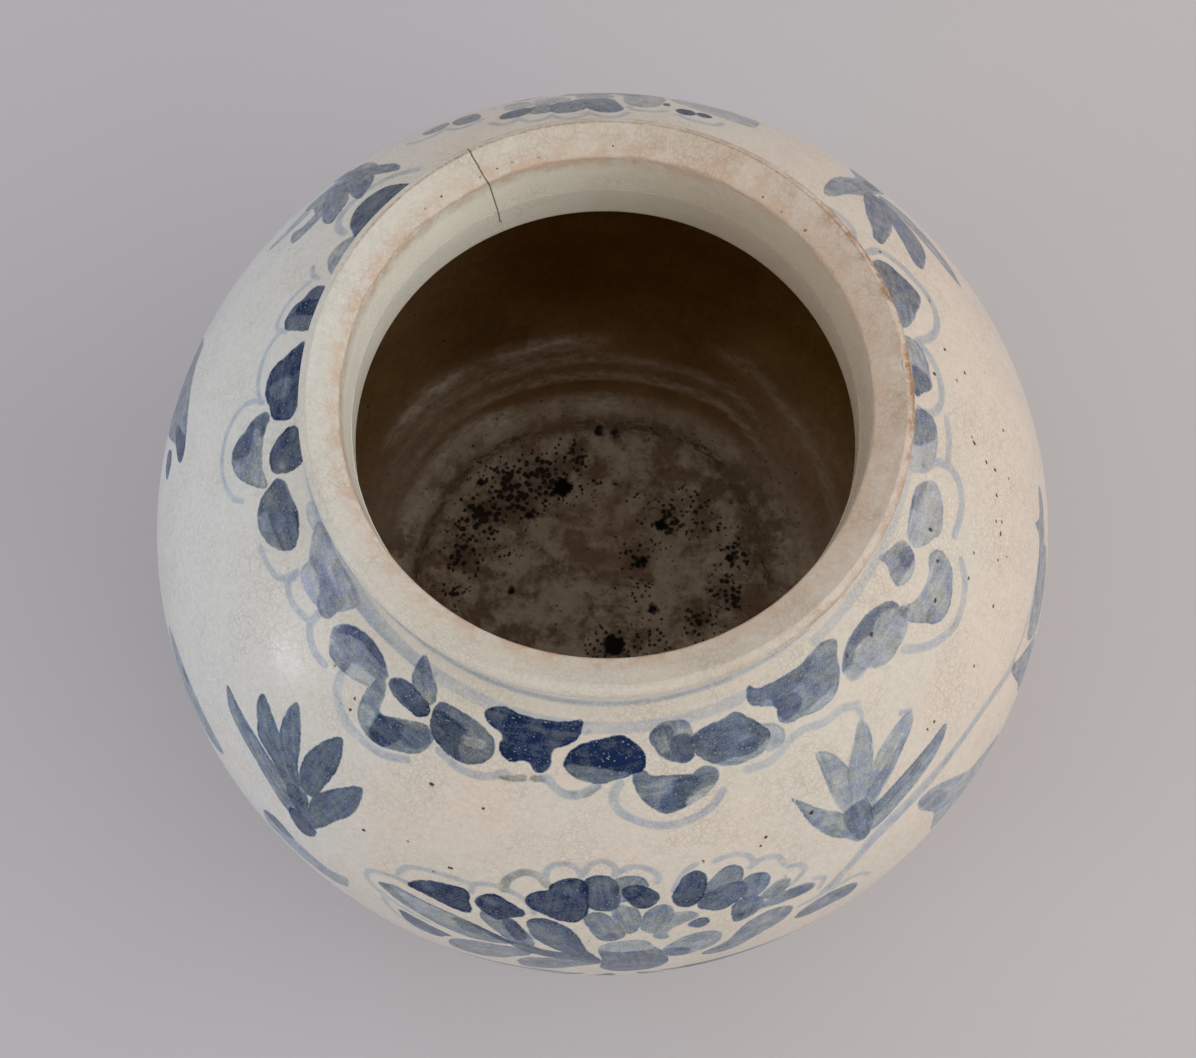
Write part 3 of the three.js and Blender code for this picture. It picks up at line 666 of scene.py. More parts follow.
class Turning:
    """A closed ring of clay made of stretches of outline, turned about the jar's axis.

    Each stretch has smooth normals of its own, so that a corner between two stretches stays
    crisp and a curve that runs on into the next piece shades as one.
    """

    def __init__(self, columns, most_uneven):
        self.azimuths = 2 * np.pi * np.arange(columns) / columns
        self.most_uneven = most_uneven
        self.stretches = []

    def add(self, points, before=None, after=None, relief=None, **facts):
        """Adds a stretch. before and after are outline points just past its ends."""
        points = np.asarray(points, float)
        before = 2 * points[0] - points[1] if before is None else np.asarray(before, float)
        after = 2 * points[-1] - points[-2] if after is None else np.asarray(after, float)
        line = np.vstack([before, points, after])
        radii, heights = line[:, 0][None, :], line[:, 1][None, :]
        turn = self.azimuths[:, None]
        slope = np.gradient(line, axis=0)
        slope /= np.maximum(np.hypot(slope[:, 0], slope[:, 1]), 1e-9)[:, None]
        inwards = unevenness(turn, heights, self.most_uneven) * np.ones_like(radii)
        if relief is not None:
            inwards = inwards + relief(np.degrees(turn), line)
        axis_fade = np.clip(radii / 6, 0, 1)
        radii = radii - inwards * slope[:, 1] * axis_fade
        heights = heights + inwards * slope[:, 0] * axis_fade
        grid = np.stack([radii * np.cos(turn), radii * np.sin(turn), heights], axis=2)
        along = grid[:, 2:] - grid[:, :-2]
        around = np.roll(grid, -1, axis=0) - np.roll(grid, 1, axis=0)
        normals = np.cross(around[:, 1:-1], along)
        for j in np.flatnonzero(points[:, 0] < 1e-6):
            normals[:, j] = normals[:, 1 if j == 0 else j - 1].mean(axis=0)
        normals /= np.maximum(np.linalg.norm(normals, axis=2, keepdims=True), 1e-12)
        self.stretches.append({"grid": grid[:, 1:-1], "normals": normals, "line": points, **facts})

    def build(self, name, closed=True):
        """Makes the mesh. A line that is not closed starts and ends in a point on the axis."""
        columns = len(self.azimuths)
        rows, self.facts = [], []
        for stretch in self.stretches:
            first = max(len(rows) - 1, 0)
            for j in range(min(len(rows), 1), len(stretch["line"])):
                rows.append(stretch["grid"][:, j])
                self.facts.append((stretch, j))
            stretch["rows"] = np.arange(first, first + len(stretch["line"]))
        if closed:
            rows.pop()
            self.facts.pop()
            self.stretches[-1]["rows"][-1] = 0
        self.alone = [stretch["line"][j, 0] < 1e-6 for stretch, j in self.facts]
        starts = np.cumsum([0] + [1 if alone else columns for alone in self.alone])
        places = np.concatenate([row[:1] if alone else row for row, alone in zip(rows, self.alone)])
        column = np.arange(columns)
        after = (column + 1) % columns
        total = sum(np.hypot(*np.diff(stretch["line"], axis=0).T).sum() for stretch in self.stretches)
        faces, normals, uvs, run = [], [], [], 0.0
        for stretch in self.stretches:
            normal = stretch["normals"]
            for k, length in enumerate(np.hypot(*np.diff(stretch["line"], axis=0).T)):
                low, high = stretch["rows"][k], stretch["rows"][k + 1]
                corners = [(low, column, k, 0), (low, after, k, 1), (high, after, k + 1, 1),
                           (high, column, k + 1, 0)]
                if self.alone[low]:
                    corners.pop(1)
                if self.alone[high]:
                    corners.pop()
                faces.append(np.stack([starts[row] + (0 if self.alone[row] else turn)
                                       + np.zeros(columns, int) for row, turn, _, _ in corners], axis=1))
                normals.append(np.stack([normal[turn, at] for _, turn, at, _ in corners], axis=1))
                uvs.append(np.stack([np.stack([(column + aside) / columns, np.full(
                    columns, (run + (at - k) * length) / total)], axis=1)
                    for _, _, at, aside in corners], axis=1))
                run += length
        mesh = bpy.data.meshes.new(name)
        self.fill(mesh, places * MM, faces, uvs, normals)
        return mesh

    def fill(self, mesh, places, faces, uvs, normals):
        """Writes points, faces, the unwrapped map and the corner normals into a mesh."""
        sides = np.concatenate([np.full(len(strip), strip.shape[1]) for strip in faces])
        corners = np.concatenate([strip.ravel() for strip in faces])
        mesh.vertices.add(len(places))
        mesh.vertices.foreach_set("co", places.astype(np.float32).ravel())
        mesh.loops.add(len(corners))
        mesh.loops.foreach_set("vertex_index", corners.astype(np.int32))
        mesh.polygons.add(len(sides))
        mesh.polygons.foreach_set("loop_start", (np.cumsum(sides) - sides).astype(np.int32))
        mesh.polygons.foreach_set("use_smooth", np.ones(len(sides), bool))
        layer = mesh.uv_layers.new(name="OFBake")
        layer.uv.foreach_set("vector", np.concatenate([strip.ravel() for strip in uvs]).astype(np.float32))
        mesh.update(calc_edges=True)
        mesh.validate()
        mesh.normals_split_custom_set(
            np.concatenate([strip.reshape(-1, 3) for strip in normals]).astype(np.float32))

    def over_rows(self, value):
        """Per-point values from a function of azimuths in degrees and one row's facts."""
        degrees = np.degrees(self.azimuths)
        spread = [np.broadcast_to(value(degrees, *fact), degrees.shape) for fact in self.facts]
        return np.concatenate([row[:1] if alone else row for row, alone in zip(spread, self.alone)])


def spline(before, start, end, after, steps=6):
    """Smooth steps from each start to its end, which also heed the points on either side."""
    t = (np.arange(steps) / steps)[None, :, None]
    a, b, c, d = (points[:, None, :] for points in (before, start, end, after))
    curve = 2 * b + (c - a) * t + (2 * a - 5 * b + 4 * c - d) * t ** 2
    return (0.5 * (curve + (3 * b - a - 3 * c + d) * t ** 3)).reshape(-1, 2)


def closed_spline(points):
    """A smooth closed line through the points."""
    return spline(*(np.roll(np.asarray(points, float), shift, axis=0) for shift in (1, 0, -1, -2)))


def open_spline(points):
    """A smooth open line through the points."""
    points = np.asarray(points, float)
    ends = np.vstack([2 * points[0] - points[1], points, 2 * points[-1] - points[-2]])
    return np.vstack([spline(ends[:-3], ends[1:-2], ends[2:-1], ends[3:]), points[-1:]])


def distance_to_line(places, line):
    """Distance from each place to a line of straight steps."""
    start, step = line[:-1], np.diff(line, axis=0)
    away = places[:, None, :] - start[None]
    share = np.clip((away * step).sum(2) / np.maximum((step ** 2).sum(1), 1e-9), 0, 1)
    return np.sqrt(((away - share[..., None] * step) ** 2).sum(2)).min(1)


def distance_inside(places, loop):
    """Distance from each place to a closed outline, above zero inside it."""
    ring = np.vstack([loop, loop[:1]])
    x, y = places[:, 0][:, None], places[:, 1][:, None]
    (x0, y0), (x1, y1) = ring[:-1].T, ring[1:].T
    crosses = (y0 > y) != (y1 > y)
    reach = (x1 - x0) * (y - y0) / np.where(y1 == y0, 1e-9, y1 - y0) + x0
    inside = ((crosses & (x < reach)).sum(1) % 2).astype(bool)
    distance = distance_to_line(places, ring)
    return np.where(inside, distance, -distance)


def unpainted(count):
    """Values for that many points that no dab or line reaches."""
    return np.tile([OUT_OF_REACH, 0.0, 0.0], (count, 1))


class Painting:
    """The decoration, laid flat motif by motif and read back at any place on the wall."""

    def __init__(self, wall):
        self.wall = wall
        self.dabs = []
        for name, strength, outline, strokes in every_dab():
            self.place(name, strength, closed_spline(outline), strokes)
            crowded = any(word in name for word in ("crown", "heart", "drop"))
            self.dabs[-1]["spread"] = 0.9 if crowded else 0.15
        for name, strength, tip, root, half_width, bow in every_leaf():
            self.place_leaf(name, strength, tip, root, half_width, bow)
        self.share_out()
        self.lines = [(strength, half, open_spline(points), grey)
                      for strength, half, points, grey in every_line()]

    def flat(self, azimuth, depth, middle):
        """Millimetres across from a meridian and down the wall."""
        turn = np.radians(signed(np.asarray(azimuth, float) - middle))
        depth = np.asarray(depth, float)
        return np.stack([turn * self.wall.radius(depth), depth], axis=-1)

    def place(self, name, strength, outline, strokes=()):
        """Adds a dab, with an outline in azimuth and depth, and its strokes and pools."""
        middle = float(outline[:, 0].mean())
        self.add_dab(name, strength, middle, self.flat(outline[:, 0], outline[:, 1], middle))
        for shade, course in strokes:
            if len(course) == 1:
                a, d, reach = course[0]
                self.dabs[-1]["pools"].append((self.flat(a, d, middle), reach, shade))
            else:
                ring = closed_spline(course)
                self.dabs[-1]["strokes"].append((self.flat(ring[:, 0], ring[:, 1], middle), shade))

    def place_leaf(self, name, strength, tip, root, half_width, bow):
        """Adds a leaf that swells between a pointed tip and a narrow root."""
        middle = (tip[0] + root[0]) / 2
        ends = self.flat([tip[0], root[0]], [tip[1], root[1]], middle)
        along = ends[1] - ends[0]
        across = np.array([-along[1], along[0]]) / np.hypot(*along)
        t = np.linspace(0, 1, 15)
        swell = np.sin(np.pi * t ** 0.8) ** 0.85 * half_width + 0.7 * t
        spine = ends[0] + t[:, None] * along + (bow * np.sin(np.pi * t))[:, None] * across
        left = spine + swell[:, None] * across
        right = spine - swell[:, None] * across
        self.add_dab(name, strength, middle, np.vstack([left, right[::-1][:-1]]))
        self.dabs[-1]["pools"] = [(ends[0] + 0.9 * along, 5.0, min(1.0, strength + 0.22)),
                                  (ends[0] + 0.3 * along + 2 * across, 4.0, strength - 0.14)]

    def add_dab(self, name, strength, middle, outline):
        """Keeps a dab with its own long direction, which the brush followed."""
        centre = outline.mean(0)
        spread = np.linalg.svd(outline - centre, full_matrices=False)[2]
        self.dabs.append({
            "name": name, "strength": strength, "middle": middle, "outline": outline,
            "centre": centre, "long": spread[0], "wide": spread[1], "pools": [], "strokes": [],
            "spread": 0.0, "seed": 37.0 * len(self.dabs)})

    def share_out(self):
        """Gives dabs that lie close to each other different channels, so that they can overlap."""
        for number, dab in enumerate(self.dabs):
            crowd = [0.0] * CHANNELS
            for other in self.dabs[:number]:
                turn = signed(other["middle"] - dab["middle"])
                if abs(turn) > 45 or abs(other["centre"][1] - dab["centre"][1]) > 80:
                    continue
                shift = math.radians(turn) * float(self.wall.radius(dab["centre"][1]))
                apart = distance_inside(dab["outline"] - [shift, 0], other["outline"]).max()
                if -apart < DAB_CLEARANCE:
                    crowd[other["channel"]] += DAB_CLEARANCE + max(apart, -DAB_CLEARANCE) + 0.1
            dab["channel"] = int(np.argmin(crowd))

    def on(self, azimuths, depths):
        """Painted values at places on the wall: one set for each channel, and one for lines."""
        count = len(azimuths)
        channels = [{"dab": unpainted(count), "stroke": np.zeros((count, 3))} for _ in range(CHANNELS)]
        for dab in self.dabs:
            near = self.near(dab["outline"], dab["middle"], azimuths, depths)
            if not len(near):
                continue
            flat = self.flat(azimuths[near], depths[near], dab["middle"])
            inside = distance_inside(flat, dab["outline"]) + dab["spread"]
            channel = channels[dab["channel"]]
            wins = inside > channel["dab"][near, 0]
            near, flat, inside = near[wins], flat[wins], inside[wins]
            strength = np.full(len(near), float(dab["strength"]))
            for place, reach, pooled in dab["pools"]:
                pull = np.exp(-1.1 * (np.hypot(*(flat - place).T) / reach) ** 3)
                strength += pull * (pooled - strength)
            laid, shade = self.strokes_on(dab, flat, strength)
            away = flat - dab["centre"]
            channel["dab"][near] = np.stack([inside, strength, laid], axis=1)
            channel["stroke"][near] = np.stack(
                [away @ dab["long"] + dab["seed"], away @ dab["wide"], shade], axis=1)
        return channels, self.lines_on(azimuths, depths)

    def strokes_on(self, dab, flat, strength):
        """Distance inside the last stroke laid over a dab, and that stroke's strength."""
        laid, shade = np.full(len(flat), OUT_OF_REACH), strength.copy()
        for outline, value in dab["strokes"]:
            inside = distance_inside(flat, outline)
            wins = (inside > 0) | ((inside > laid) & (laid < 0))
            laid[wins], shade[wins] = inside[wins], value
        return laid, shade

    def near(self, outline, middle, azimuths, depths, margin=7.0):
        """Which places lie in or close to an outline."""
        low, high = outline.min(0) - margin, outline.max(0) + margin
        flat = self.flat(azimuths, depths, middle)
        return np.flatnonzero((flat > low).all(1) & (flat < high).all(1))

    def lines_on(self, azimuths, depths):
        """Distance inside the nearest painted line, its strength, and whether it is grey."""
        marks = unpainted(len(azimuths))
        for strength, half, points, grey in self.lines:
            middle = float(points[:, 0].mean())
            if np.ptp(points[:, 0]) > 300:
                inside = half - np.abs(depths - points[0, 1])
                wins = inside > marks[:, 0]
                marks[wins, 1:] = [strength, grey]
                marks[wins, 0] = inside[wins]
                continue
            line = self.flat(points[:, 0], points[:, 1], middle)
            near = self.near(line, middle, azimuths, depths)
            if not len(near):
                continue
            inside = half - distance_to_line(self.flat(azimuths[near], depths[near], middle), line)
            wins = inside > marks[near, 0]
            near, inside = near[wins], inside[wins]
            marks[near] = np.stack([inside, *np.full((2, len(near)), [[strength], [grey]])], axis=1)
        return marks

    def specks_on(self, azimuths, depths):
        """Distance inside the nearest listed speck."""
        nearness = np.full(len(azimuths), OUT_OF_REACH)
        for azimuth, depth, size in places(SPECKS):
            spot = np.array([[0.0, depth]])
            near = self.near(spot, azimuth, azimuths, depths)
            away = np.hypot(*(self.flat(azimuths[near], depths[near], azimuth) - spot).T)
            nearness[near] = np.maximum(nearness[near], size + 0.3 - away)
        return nearness

    def stains_on(self, azimuths, depths):
        """Blush of the glaze and brown in the ink at places on the wall."""
        found = np.zeros((len(azimuths), 2))
        for azimuth, depth, reach, *amounts in STAINS:
            away = np.hypot(*(self.flat(azimuths, depths, azimuth) - [0.0, depth]).T)
            found += np.exp(-(away / reach) ** 2)[:, None] * amounts
        return found


# Places of the collar's ovals behind the neck, and the peony petals that repeat on the far side
FAR_OVALS = [(azimuth, 13 - 2 * (number % 2)) for number, azimuth in enumerate(range(46, 124, 11))]
BACK_TURN = 7
BACK_LIFT = -18
BACK_PETALS = {
    "heart left", "heart middle", "heart right", "heart end", "left long petal",
    "left skirt petal", "middle skirt petal", "cup petal", "right cup petal",
    "right long petal", "right outer petal", "left inner petal", "left low petal",
}


def oval(azimuth, depth, half_turn, half_depth, lean=0.0):
    """An oval outline, leaning by that many degrees of turn from its top to its foot."""
    around = 2 * np.pi * np.arange(12) / 12
    return [(azimuth + half_turn * math.cos(a) + lean * math.sin(a), depth + half_depth * math.sin(a))
            for a in around]


def every_dab():
    """The dabs seen in the main view, and like ones on the sides that it doesn't show."""
    dabs = []
    for name, strength, outline, strokes in written_dabs(COLLAR_DABS + PEONY_DABS + SPRAY_DABS):
        dabs.append((name, strength, outline, strokes))
        if name in BACK_PETALS:
            turned = [[(BACK_TURN - a, d + BACK_LIFT, *rest) for a, d, *rest in course]
                      for course in (outline, *(course for _, course in strokes))]
            dabs.append((f"back {name}", strength, turned[0],
                         [(shade, course) for (shade, _), course in zip(strokes, turned[1:])]))
    for number, (azimuth, depth) in enumerate(FAR_OVALS):
        strength = (0.85, 0.5, 0.7)[number % 3]
        dabs.append((f"far collar oval {number}", strength, oval(azimuth, depth, 4.6, 6.4, 0.6),
                     [(strength - 0.25, [(azimuth + 2, depth + 3, 3.0)])]))
    dabs += [("back right root", 0.7, oval(50.2, 69, 1.4, 7), []),
             ("back left root", 0.7, oval(131.2, 78, 1.4, 6), [])]
    return dabs


def every_leaf():
    """Sprays of leaves low on the body, below the main view."""
    # Turn and drop of each tip, first strength and its step, then the root's share of the turn and
    # its lift, the half width and the bow.
    skirt = ((-27, 12), (-17, 25), (-5, 31), (8, 29), (19, 21), (29, 8)), 0.5, 0.05, 0.25, 3, 5.0, 1.5
    low = ((-15, -6), (-11, 14), (-1, 25), (9, 16), (14, -2)), 0.52, 0.06, 0.15, 10, 4.8, 1.2
    leaves = []
    for name, middle, depth, spray in (
            ("front skirt", -86, 146, skirt), ("back skirt", 93, 128, skirt), ("right low", -22, 150, low),
            ("far right low", 42, 140, low), ("far left low", 145, 140, low), ("left low", 205, 152, low)):
        tips, strength, step, share, lift, half_width, bow = spray
        for number, (turn, drop) in enumerate(tips):
            leaves.append((f"{name} leaf {number}", strength + step * (number % 3),
                           (middle + turn, depth + drop), (middle + share * turn, depth - lift),
                           half_width, bow))
    return leaves


def every_line():
    """The lines seen in the main view, the neck line, and pale lines above the foot."""
    lines = [(1.05 * strength, half + 0.12, points, 0.0) for strength, half, points in written_lines(LINES)]
    lines += [(*line, 1.0) for line in written_lines(GREY_LINES)]
    for azimuth, depth in FAR_OVALS:
        lines.append((0.25, 1.3, [(azimuth - 5, depth + 4), (azimuth - 2.5, depth + 8.5),
                                  (azimuth + 1.5, depth + 9), (azimuth + 4.5, depth + 6)], 0.0))
    around = np.linspace(0, 360, 25)
    for strength, half, depth in ((0.26, 1.2, -0.3), (0.24, 1.0, 262.0), (0.22, 0.8, 267.0)):
        lines.append((strength, half, [(a, depth) for a in around], 0.0))
    return lines


def write_values(mesh, name, values):
    """Stores three values for every point of a mesh under a name that materials read."""
    layer = mesh.attributes.new(name, "FLOAT_VECTOR", "POINT")
    layer.data.foreach_set("vector", np.asarray(values, np.float32).ravel())


# Materials

class Value:
    """A shader socket that arithmetic is written with: each step adds a node."""

    def __init__(self, wiring, socket):
        self.wiring, self.socket = wiring, socket

    def __add__(self, other):
        return self.wiring.sum("ADD", self, other)

    def __sub__(self, other):
        return self.wiring.sum("SUBTRACT", self, other)

    def __mul__(self, other):
        return self.wiring.sum("MULTIPLY", self, other)

    def __pow__(self, power):
        return self.wiring.sum("POWER", self, power)

    def __abs__(self):
        return self.wiring.sum("ABSOLUTE", self)


class Wiring:
    """Adds shader nodes to a tree and joins them."""

    def __init__(self, tree):
        self.tree = tree

    def put(self, kind, sockets=None, **settings):
        """Adds a node, with its settings, and feeds its sockets by name or number."""
        node = self.tree.nodes.new("ShaderNode" + kind)
        for name, value in settings.items():
            setattr(node, name, value)
        for name, value in (sockets or {}).items():
            self.feed(node.inputs[name], value)
        return node

    def feed(self, socket, value):
        """Joins a socket to a value of the tree, or sets it to a constant."""
        if isinstance(value, Value):
            self.tree.links.new(value.socket, socket)
        elif hasattr(value, "__len__") and len(value) == 3 and len(socket.default_value) == 4:
            socket.default_value = (*value, 1.0)
        else:
            socket.default_value = value

    def out(self, node, socket=0):
        """One value that a node puts out."""
        return Value(self, node.outputs[socket])

    def outs(self, node):
        """All that a node puts out, by name."""
        return {socket.name: Value(self, socket) for socket in node.outputs}

    def sum(self, operation, *values, clamp=False):
        """One step of arithmetic."""
        return self.out(self.put("Math", dict(enumerate(values)), operation=operation, use_clamp=clamp))

    def clamped(self, value):
        """A value held between 0 and 1."""
        return self.sum("ADD", value, 0.0, clamp=True)

    def larger(self, first, second):
        """The larger of two values."""
        return self.sum("MAXIMUM", first, second)

    def smaller(self, first, second):
        """The smaller of two values."""
        return self.sum("MINIMUM", first, second)

    def fade(self, value, start, end, low=0.0, high=1.0):
        """A smooth change from low to high as a value goes from start to end."""
        sockets = {"Value": value, "From Min": start, "From Max": end, "To Min": low, "To Max": high}
        return self.out(self.put("MapRange", sockets, interpolation_type="SMOOTHSTEP"))

    def noise(self, vector, scale, detail=2.0, roughness=0.5):
        """Soft noise about one half."""
        sockets = {"Vector": vector, "Scale": scale, "Detail": detail, "Roughness": roughness}
        return self.outs(self.put("TexNoise", sockets))["Fac"]

    def cells(self, vector, scale, feature="F1"):
        """Scattered cells: the distance to one, and a colour that each has to itself."""
        return self.outs(self.put("TexVoronoi", {"Vector": vector, "Scale": scale}, feature=feature))

    def blend(self, share, first, second, kind="MIX"):
        """Mixes two colours."""
        node = self.put("Mix", data_type="RGBA", blend_type=kind)
        for number, value in ((0, share), (6, first), (7, second)):
            self.feed(node.inputs[number], value)
        return self.out(node, 2)

    def tint(self, color, by, share=1.0):
        """A colour multiplied by another."""
        return self.blend(share, color, by, "MULTIPLY")

    def millimetres(self):
        """Places in the row frame, in millimetres."""
        place = self.outs(self.put("TexCoord"))["Object"]
        return self.out(self.put("VectorMath", {0: place, "Scale": 1 / MM}, operation="SCALE"))

    def parts(self, vector):
        """The three numbers of a vector."""
        return list(self.outs(self.put("SeparateXYZ", {0: vector})).values())

    def join(self, x, y, z):
        """A vector from three numbers."""
        return self.out(self.put("CombineXYZ", {0: x, 1: y, 2: z}))

    def stored(self, name):
        """The vector that a mesh stores under a name."""
        return self.outs(self.put("Attribute", attribute_type="GEOMETRY", attribute_name=name))["Vector"]

    def values(self, name):
        """The three values that a mesh stores under a name."""
        return self.parts(self.stored(name))

    def group(self, name, **sockets):
        """Places a shared group."""
        node = self.put("Group", node_tree=bpy.data.node_groups[name])
        for socket, value in sockets.items():
            self.feed(node.inputs[socket], value)
        return self.outs(node)

    def bump(self, strength, distance, height):
        """A normal from a height, with the distance in metres."""
        return self.out(self.put("Bump", {"Strength": strength, "Distance": distance, "Height": height}))

    def surface(self, sockets):
        """The glossy shader of a piece, joined to the end of its material."""
        shader = self.out(self.put("BsdfPrincipled", sockets))
        self.put("OutputMaterial", {"Surface": shader})


def emptied(holder):
    """Wiring for the tree of a material or a world, with nothing in it yet."""
    holder.use_nodes = True
    holder.node_tree.nodes.clear()
    return Wiring(holder.node_tree)


def new_group(name, inputs, outputs):
    """A new shader node group: its wiring, what it is given, and what it is to put out."""
    tree = bpy.data.node_groups.new(name, "ShaderNodeTree")
    for sockets, way in ((inputs, "INPUT"), (outputs, "OUTPUT")):
        for label, kind in sockets.items():
            tree.interface.new_socket(name=label, in_out=way, socket_type="NodeSocket" + kind)
    w = Wiring(tree)
    given = w.outs(tree.nodes.new("NodeGroupInput"))
    return w, given, tree.nodes.new("NodeGroupOutput").inputs


def brush_dab_group():
    """Blue laid down by one dab: crisp uneven edge, strokes over it, streaks, pooled rim."""
    w, given, result = new_group(
        "Brush dab", {"Dab": "Vector", "Stroke": "Vector", "Wobble": "Float", "Mottle": "Float",
                      "Pooling": "Float"}, {"Ink": "Float"})
    distance, strength, laid = w.parts(given["Dab"])
    along, across, shade = w.parts(given["Stroke"])
    edge = distance + given["Wobble"]
    covered = w.fade(edge, -0.34, 0.36)
    over = w.fade(given["Wobble"] * 0.8 + laid, -0.5, 0.5)
    strength = over * (shade - strength) + strength
    streak = w.noise(w.join(across * 0.6, along * 0.07, 0.0), 1.0, 4.0, 0.62)
    swing = w.fade(strength, 0.35, 1.0, 1.1, 0.34)
    uneven = (streak - 0.5 + given["Mottle"]) * swing * strength
    rim = w.fade(edge, 1.3, 0.3) * given["Pooling"]
    w.feed(result["Ink"], w.clamped(covered * (strength + uneven + rim)))


def painting_group():
    """The whole decoration: strength of blue at a place, from every channel and the lines."""
    w, given, result = new_group("Cobalt painting", {"Place": "Vector"}, {"Ink": "Float", "Grey": "Float"})
    place = given["Place"]
    wobble = w.noise(place, 0.5, 3.0, 0.6) * 1.3 - 0.65
    broad = w.noise(place, 0.21, 4.0, 0.62) - 0.5
    grain = w.noise(place, 1.7, 3.0, 0.65) - 0.5
    mottle = broad * 1.3 + grain * 1.25
    pooling = w.fade(w.noise(place, 0.1, 1.0), 0.38, 0.6, -0.05, 0.09)
    inks = [w.group("Brush dab", Dab=w.stored(f"dab_{number}"), Stroke=w.stored(f"stroke_{number}"),
                    Wobble=wobble, Mottle=mottle, Pooling=pooling)["Ink"] for number in range(CHANNELS)]
    total = inks[0]
    for ink in inks[1:]:
        total = w.larger(total, ink) + w.smaller(total, ink) * 0.06
    distance, strength, grey = w.values("lines")
    line = w.fade(distance + wobble, -0.45, 0.55) * strength * (mottle * 1.2 + 1.0)
    total = w.larger(total, line) + w.smaller(total, line) * 0.3
    w.feed(result["Grey"], line * grey)
    bubbles = w.fade(w.cells(place, 0.7)["Distance"], 0.26, 0.14)
    holes = bubbles * w.fade(broad, -0.05, 0.1) * w.fade(total, 0.5, 0.9)
    w.feed(result["Ink"], w.clamped(holes * -0.45 + total))


def glaze_group():
    """Colour of the bare glaze: cream in front, bluish where it runs thick, blushed by stain."""
    w, given, result = new_group(
        "Glaze ground", {"Place": "Vector", "Cream": "Color", "Cool": "Color", "Blush": "Color"},
        {"Color": "Color"})
    place = given["Place"]
    x, y, _ = w.parts(place)
    broad = w.noise(place, 0.012, 3.0, 0.55)
    patch = w.noise(place, 0.035, 4.0, 0.6)
    left = w.fade(broad * 70.0 + x, -10.0, -95.0)
    right = w.fade(patch * 110.0 + y * 0.25 + x, 85.0, 190.0)
    color = w.blend(left, given["Cream"], given["Cool"])
    blushed = w.fade(patch, 0.5, 0.68, 0.0, 0.45) + right * 0.6
    ragged = w.values("stains")[0] * w.fade(w.noise(place, 0.09, 4.0, 0.65), 0.3, 0.6, 0.4, 1.7)
    color = w.blend(w.clamped(blushed + ragged), color, given["Blush"])
    fine = w.noise(place, 0.5, 6.0, 0.75)
    w.feed(result["Color"], w.tint(color, w.blend(fine, (0.78, 0.77, 0.76), (1.20, 1.205, 1.21))))


def crackle_group():
    """The net of fine cracks in the glaze, as a mask of the cracks and a height."""
    w, given, result = new_group("Crackle", {"Place": "Vector"}, {"Cracks": "Float", "Height": "Float"})
    place = given["Place"]
    wave = w.outs(w.put("TexNoise", {"Vector": place, "Scale": 0.35, "Detail": 2.0}))["Color"]
    bent = w.out(w.put("VectorMath", {0: wave, 1: (2.4, 2.4, 2.4), 2: place}, operation="MULTIPLY_ADD"))
    coarse, small = (w.cells(bent, scale, "DISTANCE_TO_EDGE")["Distance"] for scale in (0.22, 0.62))
    show = w.fade(w.noise(place, 0.05, 3.0, 0.6), 0.35, 0.65, 0.25, 1.0)
    wide = w.fade(coarse, 0.04, 0.01, 0.0, 0.8) * show
    thin = w.fade(small, 0.11, 0.02) * 0.7
    cracks = w.larger(wide, thin * show)
    w.feed(result["Cracks"], cracks)
    w.feed(result["Height"], cracks * -0.25 + w.noise(place, 0.16, 3.0, 0.55))


def speck_group():
    """Iron specks and pinholes: brown spots and pale-rimmed pits."""
    w, given, result = new_group("Iron specks", {"Place": "Vector"}, {"Specks": "Float", "Pits": "Float"})
    place = given["Place"]
    cells = w.cells(place, 0.11)
    size = w.fade(w.parts(cells["Color"])[0], 0.68, 1.0, 0.0, 0.055)
    ragged = w.noise(place, 1.4, 2.0) * 0.03 - 0.015
    specks = w.fade(size - (cells["Distance"] + ragged), 0.0, 0.012)
    listed = w.fade(w.values("surface")[1] + (w.noise(place, 1.1, 2.0) - 0.4), 0.0, 0.4)
    w.feed(result["Specks"], w.larger(specks * 0.8, listed))
    pins = w.cells(place, 0.16)
    size = w.fade(w.parts(pins["Color"])[1], 0.72, 1.0, 0.0, 0.07)
    w.feed(result["Pits"], w.fade(size - pins["Distance"], 0.0, 0.03))


